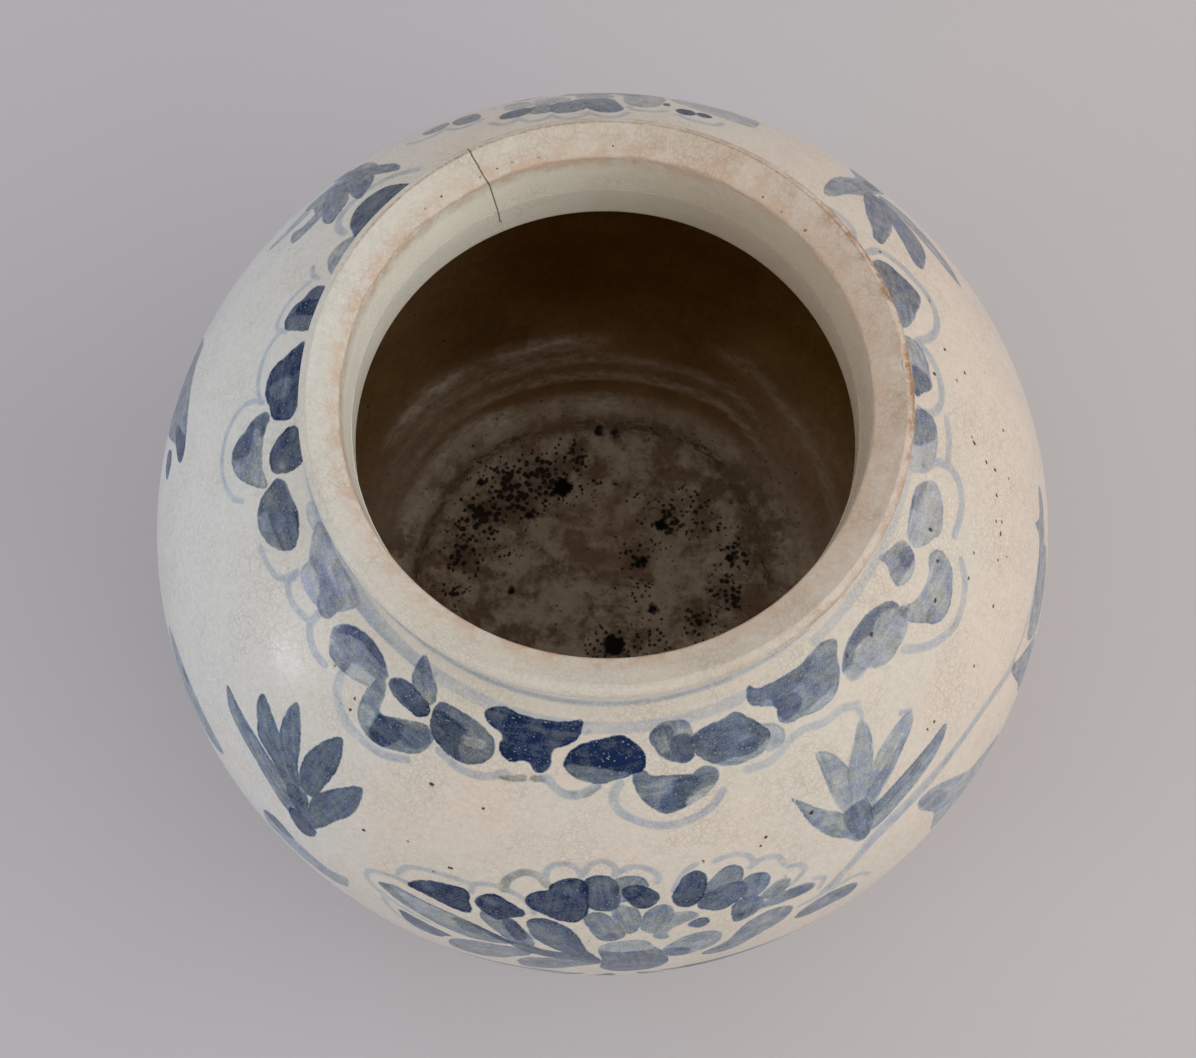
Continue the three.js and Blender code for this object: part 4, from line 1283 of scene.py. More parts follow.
def inside_group():
    """The worn inside: brown wash, rings where it pooled, grit and soot on the floor, with painted light and
    shade: a painted sheen along throwing rings, the wall painted darker as it rises, its upper left side
    painted lighter, and the floor a light beige that is partly its own colour and partly painted light.
    """
    w, given, result = new_group(
        "Worn inside with painted light", {"Place": "Vector", "Wash": "Color"}, {"Color": "Color", "Rough": "Float"})
    place = given["Place"]
    rings, grit, soot = w.values("inner")
    x, y, z = w.parts(place)
    reach = w.sum("SQRT", x * x + y * y)
    turn = w.sum("ARCTAN2", y, x)
    drag = w.noise(w.join(turn * 10.0, reach * 0.3, z * 0.3), 1.6, 5.0, 0.72)
    cloud = w.noise(place, 0.03, 4.0, 0.6)
    color = w.blend(w.fade(cloud, 0.35, 0.7), given["Wash"], (0.38, 0.225, 0.095))
    low = w.fade(z, 30.0, 19.0)
    # The wash is painted darker as the wall rises above the floor, painted shade on the upper inside wall;
    # towards the left and right sides that darkening is lifted again.
    high = w.fade(z, 25.0, 80.0, 1.0, 0.5)
    color = w.tint(color, w.join(high, high ** 1.4, high ** 3.0))
    color = w.tint(color, (1.75, 2.2, 4.0), w.fade(abs(x), 35.0, 95.0))
    # The upper inside wall on the left is painted lighter: painted light from the right falling on the wall
    # that faces it.
    left = w.fade(x, -20.0, -110.0, 0.0, 0.5) * w.fade(z, 40.0, 90.0)
    color = w.blend(left, color, (0.56, 0.37, 0.22))
    # The floor is painted a light beige, partly its own colour and partly painted light on the floor.
    color = w.blend(low * 0.92, color, (0.87, 0.76, 0.60))
    # Rings above zero are a painted sheen along the throwing ridges and are mixed in lighter, with lighter
    # streaks on the floor; rings below zero are pooled wash, mixed in darker.
    worn = rings * w.fade(drag, 0.42, 0.58, 0.55, 1.25)
    lighter = w.larger(worn, w.fade(drag, 0.54, 0.7) * low * 0.6)
    color = w.blend(w.clamped(lighter), color, (0.98, 0.88, 0.72))
    color = w.blend(w.larger(worn * -1.0, 0.0), color, (0.20, 0.125, 0.06))
    stain = w.fade(w.noise(place, 0.055, 6.0, 0.72), 0.43, 0.60)
    color = w.blend(stain * low * 0.9, color, (0.30, 0.20, 0.125))
    pink = w.fade(w.noise(place, 0.028, 3.0, 0.6), 0.52, 0.66)
    color = w.blend(pink * low * 0.5, color, (0.50, 0.33, 0.25))
    mottle = w.noise(place, 0.3, 5.0, 0.7)
    color = w.tint(color, w.blend(mottle, (0.55, 0.53, 0.50), (1.45, 1.44, 1.42)))
    patchy = w.noise(place, 0.12, 4.0, 0.7)
    color = w.blend(w.fade(grit * patchy, 0.12, 0.5, 0.0, 0.6), color, (0.13, 0.095, 0.06))
    field = grit * 0.6 + patchy * 0.95 - 0.45
    ragged = w.noise(place, 1.0, 3.0, 0.6) * 0.5 - 0.25
    crumb = w.fade(field - (w.cells(place, 0.44)["Distance"] + ragged), -0.12, 0.10)
    color = w.blend(crumb * 0.92, color, (0.020, 0.015, 0.010))
    ragged = w.noise(place, 0.35, 4.0, 0.65) * 5.0 - 2.6
    color = w.blend(w.fade(soot + ragged, -0.8, 0.9), color, (0.010, 0.008, 0.006))
    w.feed(result["Color"], color)
    w.feed(result["Rough"], w.fade(cloud, 0.3, 0.7, 0.45, 0.7))


INK_STOPS = [
    (0.0, (1.0, 1.0, 1.0)), (0.2, (0.745, 0.825, 0.96)), (0.35, (0.54, 0.615, 0.74)),
    (0.5, (0.365, 0.435, 0.565)), (0.7, (0.20, 0.255, 0.385)), (0.85, (0.11, 0.152, 0.27)),
    (0.94, (0.055, 0.088, 0.185)), (1.0, (0.004, 0.024, 0.125)),
]


def ink_filter(w, ink):
    """The share of each colour that the blue lets through, as a ramp over its strength."""
    ramp = w.put("ValToRGB", {"Fac": ink})
    elements = ramp.color_ramp.elements
    while len(elements) < len(INK_STOPS):
        elements.new(0.5)
    for element, (place, color) in zip(elements, INK_STOPS):
        element.position, element.color = place, (*color, 1.0)
    return w.out(ramp)


def glazed_material(name, colours, rough=0.21, lip=False):
    """Crackled glaze over the painting, turning to the worn inside, with its painted light and shade, below
    the throat.
    """
    material = bpy.data.materials.new(name)
    w = emptied(material)
    place = w.millimetres()
    color = w.group("Glaze ground", Place=place, Cream=colours.cream, Cool=colours.cool,
                    Blush=colours.blush)["Color"]
    crackle = w.group("Crackle", Place=place)
    specks = w.group("Iron specks", Place=place)
    painting = w.group("Cobalt painting", Place=place)
    x, y, _ = w.parts(place)
    if lip:
        color = lip_stains(w, place, color)
    ink = painting["Ink"]
    ink_color = w.tint(color, ink_filter(w, ink))
    left = w.fade(x, 60.0, -110.0)
    tinted = w.tint(ink_color, w.blend(left, (1.04, 1.035, 1.07), (1.07, 1.03, 0.98)))
    tinted = w.tint(tinted, (0.93, 0.985, 1.01), w.fade(y, -20.0, -110.0))
    hue = w.fade(w.noise(place, 0.16, 4.0, 0.68), 0.36, 0.64)
    tinted = w.tint(tinted, w.blend(hue, (1.07, 1.05, 0.91), (0.92, 0.96, 1.09)))
    cast = w.values("stains")[1]
    cloudy = w.fade(w.noise(place, 0.3, 3.0, 0.6), 0.3, 0.6)
    brown = w.clamped(w.larger(painting["Grey"] * 2.0, cast) * cloudy)
    tinted = w.blend(brown, tinted, w.tint(ink_color, (1.2, 1.05, 0.72)))
    tinted = w.tint(tinted, (1.05, 1.05, 1.32), w.clamped((cloudy * -0.4 - 0.6) * cast))
    color = w.blend(w.fade(ink, 0.15, 0.4), ink_color, tinted)
    color = w.tint(color, (0.52, 0.43, 0.34), crackle["Cracks"] * 0.42)
    color = w.blend(specks["Pits"] * 0.45, color, (0.78, 0.74, 0.68))
    color = w.blend(specks["Specks"], color, (0.070, 0.042, 0.026))
    if lip:
        color = w.blend(crack_mask(w, place), color, (0.07, 0.035, 0.018))
    edge = w.fade(w.noise(place, 0.08, 4.0, 0.6) * 0.7 + w.values("surface")[0] - 0.35, 0.44, 0.56)
    worn = w.group("Worn inside with painted light", Place=place, Wash=colours.wash)
    gloss = w.fade(w.noise(place, 0.02, 3.0, 0.6), 0.3, 0.7, rough - 0.03, rough + 0.07)
    gloss = crackle["Cracks"] * 0.12 + gloss
    w.surface({"IOR": 1.5, "Specular IOR Level": 0.14, "Base Color": w.blend(edge, color, worn["Color"]),
               "Roughness": edge * (worn["Rough"] - gloss) + gloss,
               "Normal": w.bump(0.35, 0.0003, specks["Pits"] * -0.8 + crackle["Height"])})
    return material


def lip_stains(w, place, color):
    """Rust inside the lip's worn edge, a dulled face, a brown inner break, a throat painted lighter and
    greenish on the left and darker on the right as painted light and shade, and a pale outer edge line that
    is partly thin glaze and partly a painted highlight.
    """
    run, rust, _ = w.values("lip")
    x, y, _ = w.parts(place)
    right = w.fade(y * 0.35 + x, -45.0, 85.0)
    soft = w.noise(place, 0.05, 4.0, 0.65)
    lip = w.fade(abs(run - 3.4), 11.5, 7.0)
    face = lip * w.fade(soft, 0.3, 0.65, 0.4, 1.0)
    dull = w.blend(right, (0.97, 0.985, 0.975), (0.87, 0.80, 0.755))
    color = w.tint(color, dull, face)
    blotch = w.noise(place, 0.16, 4.0, 0.7)
    tan = lip * right * w.fade(blotch, 0.44, 0.68, 0.0, 0.55)
    color = w.blend(tan, color, (0.50, 0.37, 0.275))
    # The throat is painted lighter and greenish on the left, where the light from the right falls into the
    # mouth, and darker brown on the right, where it lies in shade: painted light and painted shade.
    wall = w.blend(right, (0.89, 0.875, 0.765), (0.60, 0.505, 0.385))
    color = w.blend(w.fade(run, 9.0, 20.0) * 0.85, color, wall)
    along = run + (soft - 0.5) * 5.0
    inner = w.fade(abs(along - 11.8), 1.1, 0.1) * w.fade(blotch, 0.36, 0.60, 0.3, 0.95)
    color = w.blend(inner, color, (0.34, 0.22, 0.14))
    flush = w.fade(abs(along - 11.5), 8.0, 1.0) * w.fade(blotch, 0.40, 0.60, 0.15, 0.9)
    color = w.blend(flush, color, (0.60, 0.45, 0.345))
    stipple = w.fade(w.noise(place, 0.45, 5.0, 0.75), 0.34, 0.62, 0.2, 1.0)
    width = rust * w.fade(blotch, 0.35, 0.65) * 8.0 + 1.6
    band = w.fade(run + 4.6, width, 0.0) * w.fade(run, -5.1, -4.4)
    rusty = w.clamped(band * stipple * rust * 1.7)
    color = w.blend(rusty, color, (0.36, 0.20, 0.105))
    brown = w.fade(abs(run + 0.1), 1.0, 0.3) * stipple * w.fade(y, 25.0, 60.0, 0.0, 0.8)
    color = w.blend(brown, color, (0.34, 0.20, 0.12))
    # A pale line along the lip's outer edge, strongest at the left and right sides: partly thin glaze and
    # partly a painted highlight.
    rim = w.fade(abs(run + 5.4), 0.9, 0.4) * w.fade(abs(x), 40.0, 80.0, 0.15, 0.8)
    return w.blend(rim, color, (0.83, 0.80, 0.76))


def crack_mask(w, place):
    """Where the hairline crack shows, from the distance that the mesh stores."""
    ragged = w.noise(place, 0.9, 3.0, 0.7) * 0.3 - 0.15
    hairline = w.fade(abs(w.values("lip")[2]) + ragged, 0.36, 0.12, 0.0, 0.85)
    return hairline * w.fade(w.parts(place)[1], 20.0, 30.0)


def biscuit_material(colours):
    """Bare, gritty clay with stain in its grain."""
    material = bpy.data.materials.new("Foot biscuit")
    w = emptied(material)
    place = w.millimetres()
    broad = w.noise(place, 0.06, 4.0, 0.65)
    grain = w.noise(place, 1.3, 5.0, 0.7)
    color = w.blend(w.fade(broad, 0.35, 0.7), colours.biscuit, (0.30, 0.20, 0.12))
    color = w.blend(w.fade(grain, 0.55, 0.75, 0.0, 0.5), color, (0.17, 0.11, 0.07))
    color = w.blend(w.fade(grain, 0.42, 0.28, 0.0, 0.4), color, (0.62, 0.52, 0.40))
    specks = w.group("Iron specks", Place=place)["Specks"]
    w.surface({"Base Color": w.blend(specks, color, (0.06, 0.03, 0.015)),
               "Roughness": w.fade(grain, 0.3, 0.7, 0.75, 0.92), "Normal": w.bump(0.6, 0.0004, grain)})
    return material


def jar_material(name):
    """The material of that name, made the first time it is asked for."""
    if name in bpy.data.materials:
        return bpy.data.materials[name]
    if "Brush dab" not in bpy.data.node_groups:
        for make in (brush_dab_group, painting_group, glaze_group, crackle_group, speck_group,
                     inside_group):
            make()
    colours = bpy.context.scene.jar_colours
    if name == "Foot biscuit":
        return biscuit_material(colours)
    return glazed_material(name, colours, lip=name in ("Lip glaze", "Shoulder glaze"))


# Pieces

def fact(stretch, name, j, otherwise):
    """What one row of a stretch was given under a name."""
    return stretch[name][j] if name in stretch else otherwise


def store_painting(mesh, turning, painting):
    """Writes the painting's values for the outer wall, and nothing elsewhere."""
    azimuths = turning.over_rows(lambda a, stretch, j: a)
    depths = turning.over_rows(lambda a, stretch, j: fact(stretch, "depths", j, np.nan))
    outer = np.flatnonzero(~np.isnan(depths))
    channels, marks = painting.on(azimuths[outer], depths[outer])
    for number, channel in enumerate(channels):
        dab, stroke = unpainted(len(depths)), np.zeros((len(depths), 3))
        dab[outer], stroke[outer] = channel["dab"], channel["stroke"]
        write_values(mesh, f"dab_{number}", dab)
        write_values(mesh, f"stroke_{number}", stroke)
    lines = unpainted(len(depths))
    lines[outer] = marks
    write_values(mesh, "lines", lines)
    stains = np.zeros((len(depths), 3))
    stains[outer, :2] = painting.stains_on(azimuths[outer], depths[outer])
    write_values(mesh, "stains", stains)
    specks = np.full(len(depths), OUT_OF_REACH)
    specks[outer] = painting.specks_on(azimuths[outer], depths[outer])
    return specks


def store_surface(mesh, turning, specks=None):
    """Writes how far each point is inside, and the marks on the inner wall and floor."""
    inside = turning.over_rows(lambda a, stretch, j: fact(stretch, "inside", j, 0.0))
    specks = np.full(len(inside), OUT_OF_REACH) if specks is None else specks
    write_values(mesh, "surface", np.stack([inside, specks, np.zeros(len(inside))], axis=1))
    places = np.empty(len(mesh.vertices) * 3, np.float32)
    mesh.vertices.foreach_get("co", places)
    x, y, z = places.reshape(-1, 3).T.astype(float) / MM
    radius, turn = np.hypot(x, y), np.degrees(np.arctan2(y, x))
    lean = 0.36 * np.clip(62 - turn, 0, 62) + 0.25 * np.clip(turn - 130, 0, 50)
    rings = np.zeros(len(x))
    for start, end, middle, half, strength in RING_SHEEN_AND_POOLS:
        span = np.clip(np.minimum(turn - start, end - turn) / 12, 0, 1) if end - start < 359 else 1.0
        rings += strength * span * np.exp(-((radius + lean - middle) / half) ** 2) * (z < 130)
    grit, soot = np.zeros(len(x)), np.full(len(x), OUT_OF_REACH)
    for across, along, reach, strength in GRIT:
        pile = strength * np.exp(-((x - across) ** 2 + (y - along) ** 2) / reach ** 2)
        grit = np.maximum(grit, pile * (z < 60))
    for across, along, reach in SOOT:
        soot = np.maximum(soot, np.where(z < 60, reach - np.hypot(x - across, y - along), OUT_OF_REACH))
    write_values(mesh, "inner", np.stack([rings, grit, soot], axis=1))


# Millimetres round the throat and round the face of the lip for a degree of turn
THROAT_DEGREE = math.radians(84)
LIP_DEGREE = math.radians(88)


def crack_distance(turn, reach):
    """Millimetres round the throat from the crack, on either side of it."""
    angles, runs = np.array(CRACK, float).T
    away = signed(turn - np.interp(reach, runs, angles)) * THROAT_DEGREE
    past = np.maximum(np.maximum(runs[0] - reach, reach - runs[-1]), 0)
    return np.where(away < 0, -1, 1) * np.hypot(away, past)


def reach_of(stretch, j):
    """How far along the clay a row lies from the lip's outer corner."""
    return fact(stretch, "reach", j, -99.0)


def lip_pits(turning):
    """Distance inside the nearest pit on the face of the lip."""
    nearness = OUT_OF_REACH
    for azimuth, reach, size in places(LIP_PITS):
        nearness = np.maximum(nearness, turning.over_rows(lambda a, stretch, j: size - 0.05 - np.hypot(
            signed(a - azimuth) * LIP_DEGREE, reach_of(stretch, j) - reach)))
    return nearness


def store_lip(mesh, turning):
    """Writes where each point lies across the lip, its rust, and how far it is from the crack."""
    angles, amounts = np.array(RUST, float).T
    write_values(mesh, "lip", np.stack([
        turning.over_rows(lambda a, stretch, j: reach_of(stretch, j)),
        turning.over_rows(lambda a, stretch, j: np.interp(signed(a), angles, amounts)),
        turning.over_rows(lambda a, stretch, j: crack_distance(a, reach_of(stretch, j)))], axis=1))


def placed(name, data):
    """A new object in the scene."""
    added = bpy.data.objects.new(name, data)
    bpy.context.scene.collection.objects.link(added)
    return added


def finish_piece(mesh, name, material, node):
    """Links a mesh as a named piece that stands for a node and rides on the jar."""
    mesh.materials.append(jar_material(material))
    piece = placed(name, mesh)
    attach(piece, "root")
    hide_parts(node)
    return piece


FOOT_COLUMNS = 384
BOWL_COLUMNS = 560
COIL_COLUMNS = 512
BASE_WALL = 8.5
FLOOR_THICKNESS = 10.0
FLOOR_CORNER = 15.0
BASE_DISH = 2.2
FOOT_RING_WIDTH = 10.0
FOOT_EDGE_WIDTH = 5.5
FOOT_OUTER_TAPER = 1.8
FOOT_EDGE_ROUND = 1.2
THROWING_RINGS = 6
THROWING_RING_RELIEF = 1.1
COIL_HEIGHT = 17.0
COIL_THICKNESS = 3.2
COIL_CLEARANCE = 0.3
THROAT_DEPTH = 46.0
THROAT_EDGE_ROUND = 4.5
UNDERCUT_FALL = 9.0
NECK_WAIST_RADIUS = 90.2
NECK_WAIST_DEPTH = 15.5
LIP_EDGE_DEPTH = 4.4
LIP_EDGE_INSET = 2.6
LIP_FACE_WIDTH = 10.6
LIP_FACE_FALL = 5.8
LIP_BREAK_ROUND = 1.6
LIP_CORNER_ROUND = 0.9
NECK_REACH = 31.8
CHIP_AZIMUTH = 8.0


class JAR_OT_stage(bpy.types.Operator):
    """Makes the camera, the plain surface under the jar and the soft light"""

    bl_idname = "jar.stage"
    bl_label = "Stage"

    def execute(self, context):
        self.camera(context.scene)
        self.surface(context.scene)
        self.lamps(context.scene)
        self.room(context.scene)
        return {"FINISHED"}

    def camera(self, scene):
        """The photograph's view, from above and in front."""
        data = bpy.data.cameras.new("Camera")
        data.lens = 76.84
        data.sensor_width = 36.0
        camera = placed("Camera", data)
        right = Vector((0.99947911, 0.03122095, 0.00817034))
        up = Vector((-0.0322263, 0.95202504, 0.30431857))
        back = right.cross(up).normalized()
        turned = Matrix((right, up, back)).transposed().to_4x4()
        camera.matrix_world = Matrix.Translation((0.0, -0.27903, 1.02022)) @ turned
        data.clip_start, data.clip_end = 0.05, 20.0
        scene.camera = camera

    def surface(self, scene):
        """A wide surface that the camera sees through from below."""
        mesh = bpy.data.meshes.new("Surface")
        reach, steps = 4.0, 32
        turns = [2 * math.pi * i / steps for i in range(steps)]
        mesh.from_pydata([(reach * math.cos(turn), reach * math.sin(turn), 0) for turn in turns],
                         [], [list(range(steps))])
        surface = placed("Surface", mesh)
        material = bpy.data.materials.new("Plain backdrop")
        w = emptied(material)
        place = w.outs(w.put("TexCoord"))["Object"]
        # The backdrop is painted brighter and warmer toward the right: painted light from the right side.
        right = w.fade(w.parts(place)[0], -0.3, 0.3)
        color = w.tint(scene.jar_colours.backdrop, (1.07, 1.04, 0.96), right)
        cloud = w.noise(place, 2.2, 3.0, 0.5)
        color = w.tint(color, w.blend(cloud, (0.96, 0.96, 0.97), (1.04, 1.04, 1.04)))
        shader = w.put("BsdfPrincipled", {"Base Color": color, "Roughness": 0.8,
                                          "Specular IOR Level": 0.1})
        below = w.outs(w.put("NewGeometry"))["Backfacing"] * w.outs(w.put("LightPath"))["Is Camera Ray"]
        mix = w.put("MixShader", {0: below, 1: w.out(shader), 2: w.out(w.put("BsdfTransparent"))})
        w.put("OutputMaterial", {"Surface": w.out(mix)})
        mesh.materials.append(material)

    def lamps(self, scene):
        """A broad soft light from the right and above, and two small windows at the left."""
        target = Vector((0.0, 0.0, 0.17))
        for name, place, width, height, power, tint in (
                ("Right light", (2.55, -0.75, 1.65), 4.0, 2.6, 44.0, (1.0, 0.985, 0.96)),
                ("Window", (-2.6, -0.95, 0.85), 0.9, 0.9, 10.5, (0.9, 0.95, 1.0)),
                ("Low window", (-2.65, -1.03, 0.2), 0.4, 0.34, 6.0, (0.9, 0.95, 1.0))):
            data = bpy.data.lights.new(name, "AREA")
            data.shape, data.size, data.size_y, data.energy = "RECTANGLE", width, height, power
            data.color = tint
            lamp = placed(name, data)
            lamp.location = place
            lamp.rotation_mode = "QUATERNION"
            lamp.rotation_quaternion = (target - Vector(place)).to_track_quat("-Z", "Y")

    def room(self, scene):
        """Even pale light from all round, and a plain grey wall behind the side views."""
        world = bpy.data.worlds.new("Room")
        scene.world = world
        w = emptied(world)
        seen = w.outs(w.put("LightPath"))["Is Camera Ray"]
        wall, light = (w.out(w.put("Background", {"Color": color, "Strength": strength}))
                       for color, strength in (((0.445, 0.425, 0.435), 1.0), ((1.0, 0.985, 0.97), 0.68)))
        w.put("OutputWorld", {"Surface": w.out(w.put("MixShader", {0: seen, 1: light, 2: wall}))})
        scene.view_settings.view_transform = "Standard"


class JAR_OT_foot_ring(bpy.types.Operator):
    """Turns the bare foot ring that the jar stands on"""

    bl_idname = "jar.foot_ring"
    bl_label = "Foot ring"

    def execute(self, context):
        sizes = measured(context)
        radius, height = sizes.foot_radius, sizes.foot_height
        edge_outer = radius - FOOT_OUTER_TAPER
        edge_inner = edge_outer - FOOT_EDGE_WIDTH
        inner = radius - FOOT_RING_WIDTH
        r = FOOT_EDGE_ROUND
        turning = Turning(FOOT_COLUMNS, 0.0)

        def chatter(turn, line):
            """Fine marks of the turning tool, which end short of both edges."""
            wave = np.sin(np.radians(7 * turn) + line[:, 1] * 2.1)
            return 0.12 * (1 + wave) * (np.abs(line[:, 1] - height / 2) < height / 2 - 0.6)

        turning.add(straight((radius, height), (inner, height), 3))
        turning.add(respaced(np.vstack([
            straight((inner, height), (edge_inner, r), 9),
            bent((edge_inner, r), (edge_inner, 0), (edge_inner + r, 0), 5),
            straight((edge_inner + r, 0), (edge_outer - r, 0), 5),
            bent((edge_outer - r, 0), (edge_outer, 0), (edge_outer, r), 5),
            straight((edge_outer, r), (radius, height), 9)]), 34), relief=chatter)
        mesh = turning.build("Foot ring")
        finish_piece(mesh, "Foot_ring", "Foot biscuit", "foot_ring")
        return {"FINISHED"}


class JAR_OT_lower_bowl(bpy.types.Operator):
    """Turns the lower bowl, from the belly seam to the floor and the recessed base"""

    bl_idname = "jar.lower_bowl"
    bl_label = "Lower bowl"

    def execute(self, context):
        sizes = measured(context)
        wall = Wall(sizes)
        inner_radius = wall.belly - sizes.wall
        inner_fall = wall.fall - BASE_WALL
        foot_height = sizes.foot_height
        floor_height = foot_height + FLOOR_THICKNESS
        foot_inner = sizes.foot_radius - FOOT_RING_WIDTH
        depths = np.linspace(wall.foot_depth, wall.seam_depth, 90)
        outer = wall.outline(depths)
        past = wall.outline(np.array([wall.seam_depth - (depths[0] - depths[1])]))[0]
        corner = -math.asin((wall.seam - floor_height - FLOOR_CORNER / 2) / inner_fall)
        pull = tangent_at_height(inner_radius, inner_fall, wall.seam, corner, floor_height)
        floor_radius = pull[0] - FLOOR_CORNER / 2
        below_seam = np.linspace(0, 0.3 * corner, 9)[:-1]
        angles = np.concatenate([below_seam, np.linspace(0.3 * corner, corner, 47)])
        inner = ellipse_points(inner_radius, inner_fall, wall.seam, angles)
        curve = bent(inner[-1], pull, (floor_radius, floor_height), 9)
        floor = straight((floor_radius, floor_height), (0.0, floor_height), 15)
        turning = Turning(BOWL_COLUMNS, sizes.unevenness)
        base = (0.0, foot_height + BASE_DISH)
        turning.add(np.vstack([
            straight(base, (foot_inner / 2, base[1]), 4)[:-1],
            bent((foot_inner / 2, base[1]), (foot_inner - BASE_DISH, base[1]),
                 (foot_inner, foot_height), 7)]))
        turning.add(straight((foot_inner, foot_height), outer[0], 3))
        turning.add(outer, after=past, depths=depths)
        turning.add(straight(outer[-1], inner[0], 3))

        def rings(turn, line):
            """The low rings that the potter's fingers leave, with finer ones over them."""
            angle = np.arcsin(np.clip((line[:, 1] - wall.seam) / inner_fall, -1, 0))
            first = -math.asin(COIL_HEIGHT / inner_fall)
            share = np.clip((angle - first) / (corner - first), 0, 1)
            swell = (1 - np.cos(2 * np.pi * THROWING_RINGS * share)) / 2
            finer = 0.10 * (1 + np.sin(line[:, 1] * 1.15 + 0.6 * np.sin(np.radians(turn))))
            return THROWING_RING_RELIEF * swell + finer * np.sin(np.pi * share)

        along = np.vstack([inner, curve[1:], floor[1:]])
        turning.add(along, before=(inner_radius, wall.seam + 1.0), relief=rings,
                    inside=np.ones(len(along)))
        mesh = turning.build("Lower bowl", closed=False)
        store_surface(mesh, turning, store_painting(mesh, turning, Painting(wall)))
        finish_piece(mesh, "Lower_bowl", "Bowl glaze", "lower_bowl")
        return {"FINISHED"}


class JAR_OT_seam_coil(bpy.types.Operator):
    """Turns the coil pressed over the belly seam from the inside"""

    bl_idname = "jar.seam_coil"
    bl_label = "Seam coil"

    def execute(self, context):
        sizes = measured(context)
        wall = Wall(sizes)
        back = wall.belly - sizes.wall - COIL_CLEARANCE
        half = COIL_HEIGHT / 2
        low_angle = -math.asin(half / (wall.fall - BASE_WALL))
        high_angle = math.asin(half / (wall.rise - sizes.wall))
        lower = ellipse_points(back, wall.fall - BASE_WALL, wall.seam, np.linspace(low_angle, 0, 8))
        upper = ellipse_points(back, wall.rise - sizes.wall, wall.seam, np.linspace(0, high_angle, 8))
        face = bent(upper[-1], (back - 2 * COIL_THICKNESS, wall.seam), lower[0], 22)
        turning = Turning(COIL_COLUMNS, 0.0)
        turning.add(np.vstack([lower, upper[1:]]))

        def pressed(turn, line):
            """Thumb marks, deepest along the middle of the coil."""
            swing = np.sin(np.radians(turn * 31) + 1.3 * np.sin(np.radians(5 * turn)))
            return 0.225 * (1 + swing) * np.clip(1 - ((line[:, 1] - wall.seam) / half) ** 2, 0, 1)

        turning.add(face, relief=pressed, inside=np.ones(len(face)))
        mesh = turning.build("Seam coil")
        store_surface(mesh, turning)
        finish_piece(mesh, "Seam_coil", "Coil wash", "seam_coil")
        return {"FINISHED"}


class JAR_OT_upper_bowl(bpy.types.Operator):
    """Turns the painted shoulder, from the belly seam to the throat and back down inside"""

    bl_idname = "jar.upper_bowl"
    bl_label = "Upper bowl"

    def execute(self, context):
        sizes = measured(context)
        wall = Wall(sizes)
        inner_radius, inner_rise = wall.belly - sizes.wall, wall.rise - sizes.wall
        throat = sizes.throat_radius
        neck = (sizes.neck_radius, sizes.neck_height)
        edge_height = sizes.height - THROAT_DEPTH
        depths = np.linspace(wall.seam_depth, 0.0, 104)
        outer = wall.outline(depths)
        step = depths[0] - depths[1]
        before, after = wall.outline(np.array([wall.seam_depth + step, -step]))
        blend_angle = math.asin((edge_height - UNDERCUT_FALL - wall.seam) / inner_rise)
        blend_point = ellipse_points(inner_radius, inner_rise, wall.seam, np.array([blend_angle]))[0]
        pull = tangent_at_height(inner_radius, inner_rise, wall.seam, blend_angle, edge_height)
        rolled = THROAT_EDGE_ROUND
        quarter = np.linspace(np.pi, 1.5 * np.pi, 7)
        roll = np.stack([throat + rolled + rolled * np.cos(quarter),
                         edge_height + rolled + rolled * np.sin(quarter)], axis=1)
        inner = ellipse_points(inner_radius, inner_rise, wall.seam, np.linspace(blend_angle, 0, 11))
        lining = np.vstack([
            straight((throat, neck[1]), roll[0], 3)[:-1], roll,
            bent(roll[-1], pull, blend_point, 5)[1:], inner[1:]])
        turning = Turning(context.scene.jar_sizes.columns, sizes.unevenness)
        turning.add(outer, before=before, after=after, depths=depths)
        turning.add(straight(outer[-1], (throat, neck[1]), 2), reach=[NECK_REACH] * 2)
        inside = np.clip((edge_height + 3.2 - lining[:, 1]) / 4.0, 0, 1)
        turning.add(lining, before=(throat, neck[1] + 6), inside=inside,
                    reach=run_along(lining) + NECK_REACH)
        turning.add(straight(inner[-1], outer[0], 2))
        mesh = turning.build("Upper bowl")
        store_surface(mesh, turning, store_painting(mesh, turning, Painting(wall)))
        store_lip(mesh, turning)
        finish_piece(mesh, "Upper_bowl", "Shoulder glaze", "upper_bowl")
        return {"FINISHED"}


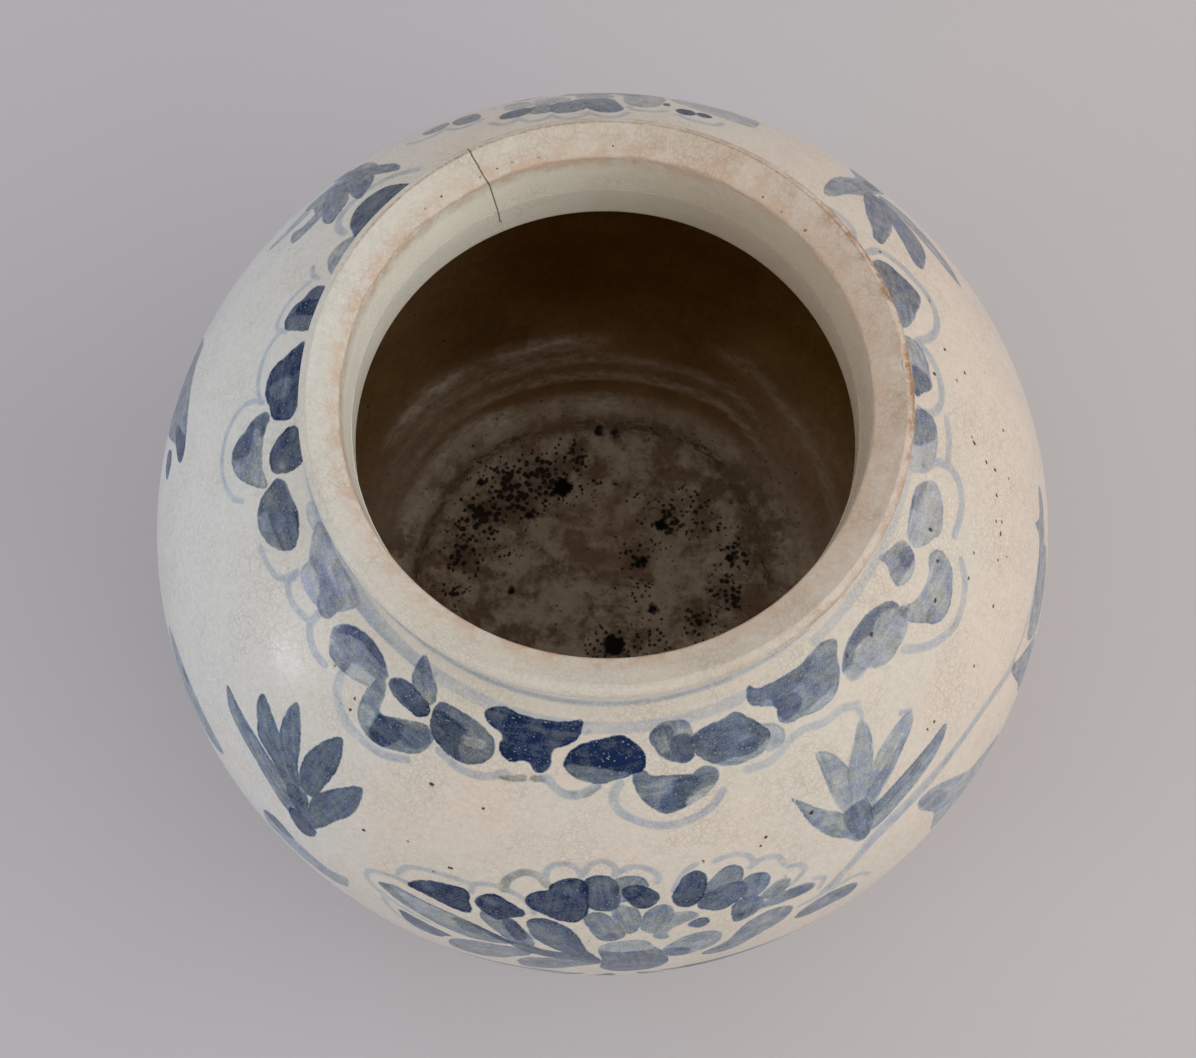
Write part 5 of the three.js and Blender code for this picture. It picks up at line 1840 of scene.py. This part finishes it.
class JAR_OT_neck_collar(bpy.types.Operator):
    """Turns the neck and its dished lip, with the small chip and the hairline crack"""

    bl_idname = "jar.neck_collar"
    bl_label = "Neck collar"

    def execute(self, context):
        sizes = measured(context)
        wall = Wall(sizes)
        top = sizes.height
        throat = sizes.throat_radius
        base = (sizes.neck_radius, sizes.neck_height)
        waist = (NECK_WAIST_RADIUS, top - NECK_WAIST_DEPTH)
        lip_edge = (sizes.lip_radius, top - LIP_EDGE_DEPTH)
        corner = (lip_edge[0] - LIP_EDGE_INSET, top)
        lip_break = (corner[0] - LIP_FACE_WIDTH, top - LIP_FACE_FALL)
        toward = np.subtract(corner, lip_break)
        toward /= np.hypot(*toward)
        face_end = np.add(lip_break, LIP_BREAK_ROUND * toward)
        under = (waist[1] + lip_edge[1]) / 2
        below_corner = (corner[0] + 0.12, top - LIP_CORNER_ROUND)
        face_start = np.subtract(corner, LIP_CORNER_ROUND * toward)
        under_break = (lip_break[0], lip_break[1] - LIP_BREAK_ROUND)
        outside = np.vstack([
            bent(base, (waist[0], (waist[1] + base[1]) / 2), waist, 8),
            swept(waist, (waist[0], under), (lip_edge[0], under), lip_edge, 10)[1:],
            bent(lip_edge, (lip_edge[0], (lip_edge[1] + top) / 2), below_corner, 6)[1:],
            bent(below_corner, corner, face_start, 6)[1:],
            straight(face_start, face_end, 14)[1:],
            bent(face_end, lip_break, under_break, 6)[1:],
            straight(under_break, (throat, base[1]), 18)[1:]])
        run = run_along(outside)
        corner_run = run[np.argmax(outside[:, 1])]
        from_corner = run - corner_run
        turning = Turning(context.scene.jar_sizes.columns, sizes.unevenness)

        def wear(turn, line):
            """The chip in the outer edge, the crack's groove and the ripple of the lip."""
            reach = np.interp(np.arange(-1, len(line) - 1), np.arange(len(from_corner)), from_corner)
            aside = signed(turn - CHIP_AZIMUTH) / 1.5
            chip = np.exp(-aside ** 2 - ((reach + 1.5) / 2.2) ** 2)
            groove = np.exp(-(crack_distance(turn, reach[None, :]) / 0.55) ** 2)
            ripple = 0.08 * (1 + np.sin(np.radians(17 * turn) + reach * 0.35)) * np.exp(-(reach / 7) ** 2)
            fade = np.clip(np.minimum(run[-1] - (reach + corner_run), reach + corner_run) / 3, 0, 1)
            return (1.1 * chip + 0.15 * groove + ripple) * fade

        top_depths = -run.copy()
        top_depths[run > corner_run] = np.nan
        turning.add(outside, before=wall.outline(np.array([1.2]))[0], after=(throat, base[1] - 3),
                    relief=wear, depths=top_depths, reach=from_corner)
        turning.add(straight((throat, base[1]), base, 3))
        mesh = turning.build("Neck collar")
        specks = store_painting(mesh, turning, Painting(wall))
        store_surface(mesh, turning, np.maximum(specks, lip_pits(turning)))
        store_lip(mesh, turning)
        finish_piece(mesh, "Neck_collar", "Lip glaze", "neck_collar")
        return {"FINISHED"}


class JAR_PT_panel(bpy.types.Panel):
    """Lists the jar's pieces in the sidebar"""

    bl_idname = "JAR_PT_panel"
    bl_label = "Painted jar"
    bl_space_type = "VIEW_3D"
    bl_region_type = "UI"
    bl_category = "Jar"

    def draw(self, context):
        column = self.layout.column()
        for operator in OPERATORS:
            column.operator(operator.bl_idname)
        for settings in (context.scene.jar_sizes, context.scene.jar_colours):
            for name in settings.__annotations__:
                column.prop(settings, name)


OPERATORS = (JAR_OT_stage, JAR_OT_foot_ring, JAR_OT_lower_bowl, JAR_OT_seam_coil,
             JAR_OT_upper_bowl, JAR_OT_neck_collar)
CLASSES = (JarSizes, JarColours, *OPERATORS, JAR_PT_panel)


def register():
    """Adds the classes and the two groups of settings."""
    for kind in CLASSES:
        bpy.utils.register_class(kind)
    bpy.types.Scene.jar_sizes = PointerProperty(type=JarSizes)
    bpy.types.Scene.jar_colours = PointerProperty(type=JarColours)


def unregister():
    """Takes them away again."""
    del bpy.types.Scene.jar_colours
    del bpy.types.Scene.jar_sizes
    for kind in reversed(CLASSES):
        bpy.utils.unregister_class(kind)


def main():
    """Makes the whole scene."""
    register()
    for operator in (bpy.ops.jar.stage, bpy.ops.jar.foot_ring, bpy.ops.jar.lower_bowl,
                     bpy.ops.jar.seam_coil, bpy.ops.jar.upper_bowl, bpy.ops.jar.neck_collar):
        operator()


if __name__ == "__main__":
    main()
